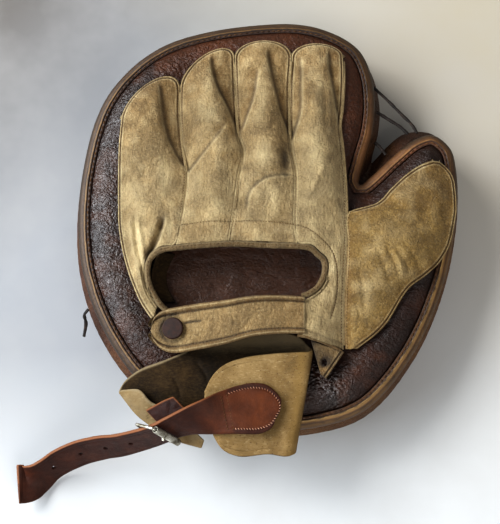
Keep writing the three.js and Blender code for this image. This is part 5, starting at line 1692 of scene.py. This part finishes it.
# Strap: a ribbon through its stations, half wide and rolled about its run; real holes
strap = {
    "rows": 340,
    "columns": 44,
    "thickness": 2.6,
    "finer": 40,
    "stations": columns("x y z roll half", [
        (28.6, -108.6, 67.4, 0, 1.0), (26.4, -108.0, 67.4, 0, 10.5), (21.5, -107.6, 67.4, 0, 15.4),
        (12.5, -107.4, 67.4, 0, 16.8), (1.8, -108.4, 67.4, 0, 15.8), (-8.9, -110.4, 67.6, 8, 14),
        (-20.2, -113.1, 67.4, 28, 12.8), (-31.7, -115.9, 64.6, 47, 12.5), (-43.2, -119.7, 60.2, 58, 12.5),
        (-53.8, -123.8, 54, 61, 12.5), (-66.7, -127.5, 45.5, 60, 12.5), (-81.1, -130.6, 37, 58, 12.5),
        (-95.7, -132.4, 29, 55, 12.5), (-110.5, -135.7, 21, 52, 12.5), (-123.8, -141.1, 15, 51, 12.5),
        (-133.9, -147.3, 12, 52, 12.5), (-141.9, -153.0, 10, 36, 12.7), (-148.7, -156.6, 9.6, 8, 13),
        (-154.6, -157.2, 13, 0, 13.2),
    ]),
    "holes": columns("station radius", [(8.82, 2.7), (10.45, 1.8), (11.7, 1.8), (12.95, 1.8), (14.6, 1.8)]),
    "holeRing": 2,
    "holeBlock": 6,
    "rim": 3.0,
    "endRadius": 16.6,
    "buckleStation": 9.0,
}


# Place, run, far-edge direction, face direction and half width at stations along the strap
def strapFrames(stations):
    table = strap["stations"]
    line = spline(sideBySide(table, "x y z"), strap["finer"])
    grid = np.arange(len(line)) / strap["finer"]
    run = np.gradient(line, axis=0)
    stations = np.asarray(stations, float)
    at = np.stack([np.interp(stations, grid, line[:, k]) for k in range(3)], -1)
    along = np.stack([np.interp(stations, grid, run[:, k]) for k in range(3)], -1)
    along = unit(along)
    level = unit(np.stack([along[..., 1], -along[..., 0], 0 * along[..., 0]], -1))
    up = np.cross(level, along)
    rows = {**table, "station": np.arange(len(table["x"]), dtype=float)}
    roll = np.radians(readTable(rows, "station", "roll", stations))[..., None]
    half = readTable(rows, "station", "half", stations)
    reach = np.interp(stations, grid, runOf(line))
    rounded = strap["endRadius"] * np.sqrt(np.clip(1 - (1 - reach / strap["endRadius"]).clip(0) ** 2.2, 0, 1))
    half = np.where(reach < strap["endRadius"], rounded, half)
    across = level * np.cos(roll) + up * np.sin(roll)
    face = up * np.cos(roll) - level * np.sin(roll)
    return at, along, across, face, half


# Moves a square block of grid points onto rings round a hole's centre
def openHole(s, w, metric, centre, radius, row, column):
    ring, block = strap["holeRing"], strap["holeBlock"]
    i, j = np.meshgrid(np.arange(-block, block + 1), np.arange(-block, block + 1), indexing="ij")
    reach = np.maximum(np.abs(i), np.abs(j)).astype(float)
    angle = np.arctan2(j, i)
    where = (slice(row - block, row + block + 1), slice(column - block, column + block + 1))
    share = np.clip((reach - ring) / (block - ring), 0, 1)
    inside = np.minimum(reach / ring, 1)
    ringS = centre + np.cos(angle) * radius * inside / metric
    ringW = np.sin(angle) * radius * inside
    s[where] = ringS * (1 - share) + s[where] * share
    w[where] = ringW * (1 - share) + w[where] * share
    return [(row + a, column + b) for a, b in squareLoop(ring)]


# Steps once round a square ring of grid points
def squareLoop(ring):
    side = np.arange(-ring, ring)
    return ([(-ring, int(b)) for b in side] + [(int(a), ring) for a in side]
            + [(ring, -int(b)) for b in side] + [(-int(a), -ring) for a in side])


def makeStrap():
    table = strap["stations"]
    last = len(table["x"]) - 1
    line = spline(sideBySide(table, "x y z"), strap["finer"])
    run = runOf(line)
    share = np.linspace(0, 1, strap["rows"])
    share = np.where(share < 0.06, share**1.6 * 0.06 ** -0.6, share)
    grid = np.arange(len(line)) / strap["finer"]
    stations = np.interp(share * run[-1], run, grid)
    _, _, _, _, half = strapFrames(stations)
    u = crowded(strap["columns"] + 1, 0.35) * 2 - 1
    s = np.repeat(stations[:, None], len(u), 1)
    w = half[:, None] * u[None, :]
    middleColumn = strap["columns"] // 2
    removed = np.zeros((len(stations) - 1, len(u) - 1), bool)
    loops = []
    for station, radius in zip(strap["holes"]["station"], strap["holes"]["radius"]):
        row = int(np.abs(stations - station).argmin())
        low = int(station)
        metric = (np.interp(station + 0.2, grid, run) - np.interp(station - 0.2, grid, run)) / 0.4
        loops.append(openHole(s, w, metric, station, radius, row, middleColumn))
        ring = strap["holeRing"]
        removed[row - ring:row + ring, middleColumn - ring:middleColumn + ring] = True
    at, _, across, face, _ = strapFrames(s)
    middle = at + across * w[..., None]
    halfHere = np.interp(s, stations, half)
    rim = halfHere - np.abs(w)
    endRim = np.interp(last - s, np.arange(last + 1), run[-1] - run[::-strap["finer"]])
    rim = np.minimum(rim, endRim)
    relief = -0.28 * np.exp(-rim / 0.5) - 0.16 * bell(rim - strap["rim"], 0.4)
    onPaddle = np.clip((4.9 - s) / 0.4, 0, 1)
    relief = relief + 0.07 * softNoise(s * 9, w, 3.0, 121) + 0.4 * onPaddle * easeIn((rim - 3.4) / 1.2)
    thick = strap["thickness"] / 2
    top = middle + face * (thick + relief)[..., None]
    low = middle - face * (thick + 0.5 * relief)[..., None]
    points, faces, border = wallBetween(top, low, 0.22)
    keep = ~removed.ravel()
    faces[0], faces[1] = faces[0][keep], faces[1][keep]
    count, size = len(u), top.shape[0] * top.shape[1]
    for loop in loops:
        ids = np.array([i * count + j for i, j in loop])
        ahead = np.roll(ids, -1)
        faces.append(np.stack([ahead, ids, ids + size, ahead + size], 1))
    dark = np.clip((s - 3.6) / 3.2, 0, 1) * 0.85
    dark = np.maximum(dark, 0.5 * np.exp(-rim / 1.6) + 0.2 * np.clip(1 - halfHere / 16, 0, 1))
    dark = np.maximum(dark, 0.85 * onPaddle * easeIn((3.6 - rim) / 0.8))
    # The cut edge on the +w side, which rolls upwards, is made paler than the other: a painted highlight on the
    # raised edge
    cut = np.clip(1 - rim / 0.35, 0, 1) * np.where(w > 0, 0.8, 0.3) * np.clip((s - 5) / 1.5, 0.15, 1)
    edgeCut = np.where(w > 0, 0.85, 0.4) * np.clip((s - 5) / 1.5, 0.15, 1)
    marks = wallMarks(border, dark=(dark, 1))
    marks["cut"] = np.concatenate([cut.ravel(), cut.ravel(), edgeCut.ravel()[border]])
    makePiece("buckleStrap", points, faces, "strap", "strap_leather", ["buckle_strap"], marks)
    sewPaddle()
    print("strap made")


# Stitches round the paddle and two rows across its narrow end
def sewPaddle():
    steps = 0.16 + 4.4 * np.linspace(0, 1, 120) ** 1.6
    at, _, across, face, half = strapFrames(steps)
    lift = strap["thickness"] / 2 + 0.05
    edge = np.clip(half - strap["rim"], 0.5, None)[:, None]
    far = at + across * edge + face * lift
    near = at - across * edge + face * lift
    outline = stitchArrays(np.vstack([far[::-1], near]), 1.9, 0.5, 0.4, 0.3, lean=1.1)
    rows = []
    for station in (4.62, 4.98):
        at, _, across, face, half = strapFrames(np.array([station]))
        t = np.linspace(-1, 1, 30)[:, None]
        row = at + across * (half[0] - 2.4) * t + face * lift
        rows.append(stitchArrays(row, 2.0, 0.5, 0.3, 0.2, lean=0.8))
    makeThreads("paddleStitches", [outline], "pinkThread", "strap_leather")
    makeThreads("paddleRows", rows, "darkThread", "strap_leather")


# Buckle: pieces in the strap's own directions, X along it, Y across, Z off its face
buckle = {"innerWidth": 27.5, "barGap": 17.4, "wire": 2.0, "tilt": 29.0, "corner": 2.2, "around": 200, "sides": 20,
          "rollerBore": 1.8, "rollerRadius": 2.4, "knurls": 26, "knurlSteps": 6, "knurlDepth": 0.16}


def onStrap(points, tilt):
    at, along, across, face, _ = strapFrames(np.array([strap["buckleStation"]]))
    basis = np.stack([along[0], -across[0], face[0]], 1)
    turn = math.radians(tilt)
    lean = np.array([[math.cos(turn), 0, math.sin(turn)], [0, 1, 0], [-math.sin(turn), 0, math.cos(turn)]])
    return at[0] + points @ lean.T @ basis.T


# Closed loop with rounded corners, as points in the XY plane
def roundedLoop(length, width, corner):
    x, y = length / 2 - corner, width / 2 - corner
    turns = []
    for cx, cy, start in ((x, y, 0), (-x, y, 90), (-x, -y, 180), (x, -y, 270)):
        angle = np.radians(start + np.linspace(0, 90, 10))
        turns.append(np.stack([cx + corner * np.cos(angle), cy + corner * np.sin(angle)], 1))
    return np.vstack(turns)


def makeBuckle():
    wire = buckle["wire"]
    loop = roundedLoop(buckle["barGap"], buckle["innerWidth"] + wire, buckle["corner"])
    loop = alongLine(loop, np.arange(buckle["around"]) / buckle["around"], closed=True)
    line = np.concatenate([loop, np.zeros((len(loop), 1))], 1)
    along = unit(np.roll(loop, -1, 0) - np.roll(loop, 1, 0))
    out = np.stack([along[:, 1], -along[:, 0], np.zeros(len(loop))], 1)
    angle = np.arange(buckle["sides"]) / buckle["sides"] * 2 * np.pi
    half = wire / 2 * 1.02
    wide, tall = (np.sign(wave) * np.abs(wave) ** 0.75 * half for wave in (np.cos(angle), np.sin(angle)))
    ring = line[:, None] + out[:, None] * wide[None, :, None] + np.array([0, 0, 1.0]) * tall[None, :, None]
    points = onStrap(ring.reshape(-1, 3), buckle["tilt"])
    quads = gridQuads(len(line), buckle["sides"], wrapRows=True, wrapColumns=True)
    makePiece("buckleFrame", points, [quads], "nickel", "nickel", ["buckle_frame"])

    half = buckle["innerWidth"] / 2 - 1.2
    sides = buckle["knurls"] * buckle["knurlSteps"]
    angle = np.arange(sides) / sides * 2 * np.pi
    knurl = buckle["knurlDepth"] * (0.5 - 0.5 * np.cos(buckle["knurls"] * angle))
    bore, radius = buckle["rollerBore"], buckle["rollerRadius"]
    profile = [(bore, -half), (radius - 0.25, -half), (radius, -half + 0.25), (radius, -half + 1.4),
               (radius, -half + 1.6), (radius, half - 1.6), (radius, half - 1.4), (radius, half - 0.25),
               (radius - 0.25, half), (bore, half)]
    rings = []
    for k, (r, y) in enumerate(profile):
        size = r - (knurl if k in (4, 5) else 0 * knurl)
        x, z = size * np.cos(angle) - buckle["barGap"] / 2, size * np.sin(angle)
        rings.append(np.stack([x, np.full(sides, y), z], 1))
    points = onStrap(np.vstack(rings), buckle["tilt"])
    makePiece("buckleRoller", points, [gridQuads(len(profile), sides, wrapRows=True, wrapColumns=True)],
              "nickel", "nickel", ["buckle_roller"], smooth=False)

    path = spline([(6.4, 0, -3.6), (3.4, 0, -3), (0, 0, -2.4), (-1.6, 0, -0.8), (-2.6, 0, 1.6),
                   (-3.9, 0, 4.4), (-4.8, 0, 6.8)], 10)
    size = np.interp(np.linspace(0, 1, len(path)), [0, 0.05, 0.9, 1], [0.75, 0.95, 0.9, 0.5])
    makePiece("buckleProng", *tubeArrays(onStrap(path, 0), size, 16), "nickel", "nickel", ["buckle_prong"])
    print("buckle made")


# Tab under the strap that holds the buckle
buckleTab = {
    "line": [(-37.8, -105.2, 64.6), (-43.5, -107.4, 63.4), (-50, -110.6, 61), (-56, -113.6, 58)],
    "side": (-5.2, 5.4),
    "rows": 70,
    "columns": 40,
    "thickness": 2.0,
}


def makeBuckleTab():
    line = alongLine(spline(buckleTab["line"], 16), np.linspace(0, 1, buckleTab["rows"]))
    across = (crowded(buckleTab["columns"], 0.4) * 2 - 1)[None, :]
    x = line[:, :1] + across * buckleTab["side"][0]
    y = line[:, 1:2] + across * buckleTab["side"][1]
    z = line[:, 2:] + 0 * across + 0.2 * softNoise(x, y, 3, 131)
    middle = np.stack([x, y, z], 2)
    half = buckleTab["thickness"] / 2
    points, faces, border = wallBetween(middle + [0, 0, half], middle - [0, 0, half])
    rim = np.minimum((1 - np.abs(across)) * 7.5, np.arange(buckleTab["rows"])[:, None] * 0.3)
    cut = 0.8 * np.clip(1 - rim / 0.9, 0, 1).ravel()
    marks = {"dark": 1, "cut": np.concatenate([cut, 0 * cut, np.full(len(border), 0.9)])}
    makePiece("buckleTab", points, faces, "strap", "strap_leather", ["buckle_tab"], marks)


# Laces: flat strips, held at both ends but for the side lace's short tail
laces = {
    "width": 1.15,
    "squash": 0.62,
    "sides": 18,
    "routes": {
        "web_lace_1": [(97.5, 124.6, 40.2), (106.5, 115.6, 41), (116.6, 105, 40.8), (124.6, 96.6, 40.4),
                       (128.4, 90.4, 40)],
        "web_lace_2": [(99.8, 106.2, 40.2), (108, 100.4, 40.8), (116.4, 95, 40.4), (121.5, 90, 40)],
        "web_lace_3": [(97.8, 83.6, 40.2), (101.6, 79.8, 40.6), (105.4, 74.6, 40.2)],
        "side_lace": [(-104.2, -37.2, 43), (-107, -40.6, 41), (-106.6, -46, 35.5), (-108.6, -54.5, 29)],
    },
}


def makeLaces():
    for number, (node, points) in enumerate(laces["routes"].items()):
        line = alongLine(spline(points, 16), np.linspace(0, 1, 90))
        share = np.linspace(0, 1, len(line))
        width = laces["width"] * (1 + 0.15 * lineNoise(share * 40, 4, 141 + number))
        makePiece("lace%d" % (number + 1), *tubeArrays(line, width, laces["sides"], laces["squash"]), "lace",
                  "lace_leather", [node])
    print("laces made")


makeStrap()
makeBuckle()
makeBuckleTab()
makeLaces()


# Floor, lights and camera: the photo looks down at 80 degrees under a large soft light from the upper left
view = {
    "target": (8.5, -4.0, 45.0),
    "elevation": 80.0,
    "distance": 900.0,
    "pixel": 0.70,
    "photoRows": 524,
    "sensor": 36.0,
    "lights": {
        "key": {"at": (-2750, 1700, 2700), "size": 1900, "watts": 146, "tint": (1.0, 0.985, 0.955)},
        "window": {"at": (-1500, 60, 900), "size": 1500, "watts": 46, "tint": (0.84, 0.92, 1.0)},
        "fill": {"at": (700, -1500, 1700), "size": 1500, "watts": 22, "tint": (1.0, 0.97, 0.93)},
    },
    "sky": ((0.95, 0.97, 1.0), 0.27),
}


def makeStage():
    bpy.ops.mesh.primitive_plane_add(size=3.0, location=(0, 0, -0.0004))
    floor = bpy.context.object
    floor.name = "paleTable"
    floor.data.materials.append(finishes["floor"])
    target = Vector(view["target"]) * mm
    for name, light in view["lights"].items():
        data = bpy.data.lights.new(name, "AREA")
        data.energy, data.size = light["watts"], light["size"] * mm
        data.color = light["tint"]
        lamp = bpy.data.objects.new(name, data)
        lamp.location = Vector(light["at"]) * mm
        lamp.rotation_euler = (lamp.location - target).to_track_quat("Z", "Y").to_euler()
        bpy.context.scene.collection.objects.link(lamp)
    world = bpy.data.worlds.new("softRoom")
    world.use_nodes = True
    background = world.node_tree.nodes["Background"]
    tint, strength = view["sky"]
    background.inputs["Color"].default_value = (*tint, 1.0)
    background.inputs["Strength"].default_value = strength
    bpy.context.scene.world = world
    bpy.context.scene.view_settings.view_transform = "Standard"
    bpy.context.scene.view_settings.look = "Medium High Contrast"
    data = bpy.data.cameras.new("photoCamera")
    camera = bpy.data.objects.new("photoCamera", data)
    angle = math.radians(view["elevation"])
    away = Vector((0, -math.cos(angle), math.sin(angle))) * view["distance"] * mm
    camera.location = target + away
    camera.rotation_euler = away.to_track_quat("Z", "Y").to_euler()
    data.sensor_width = view["sensor"]
    data.lens = view["sensor"] * view["distance"] / (view["photoRows"] * view["pixel"])
    bpy.context.scene.collection.objects.link(camera)
    bpy.context.scene.camera = camera
    print("stage made")


makeStage()
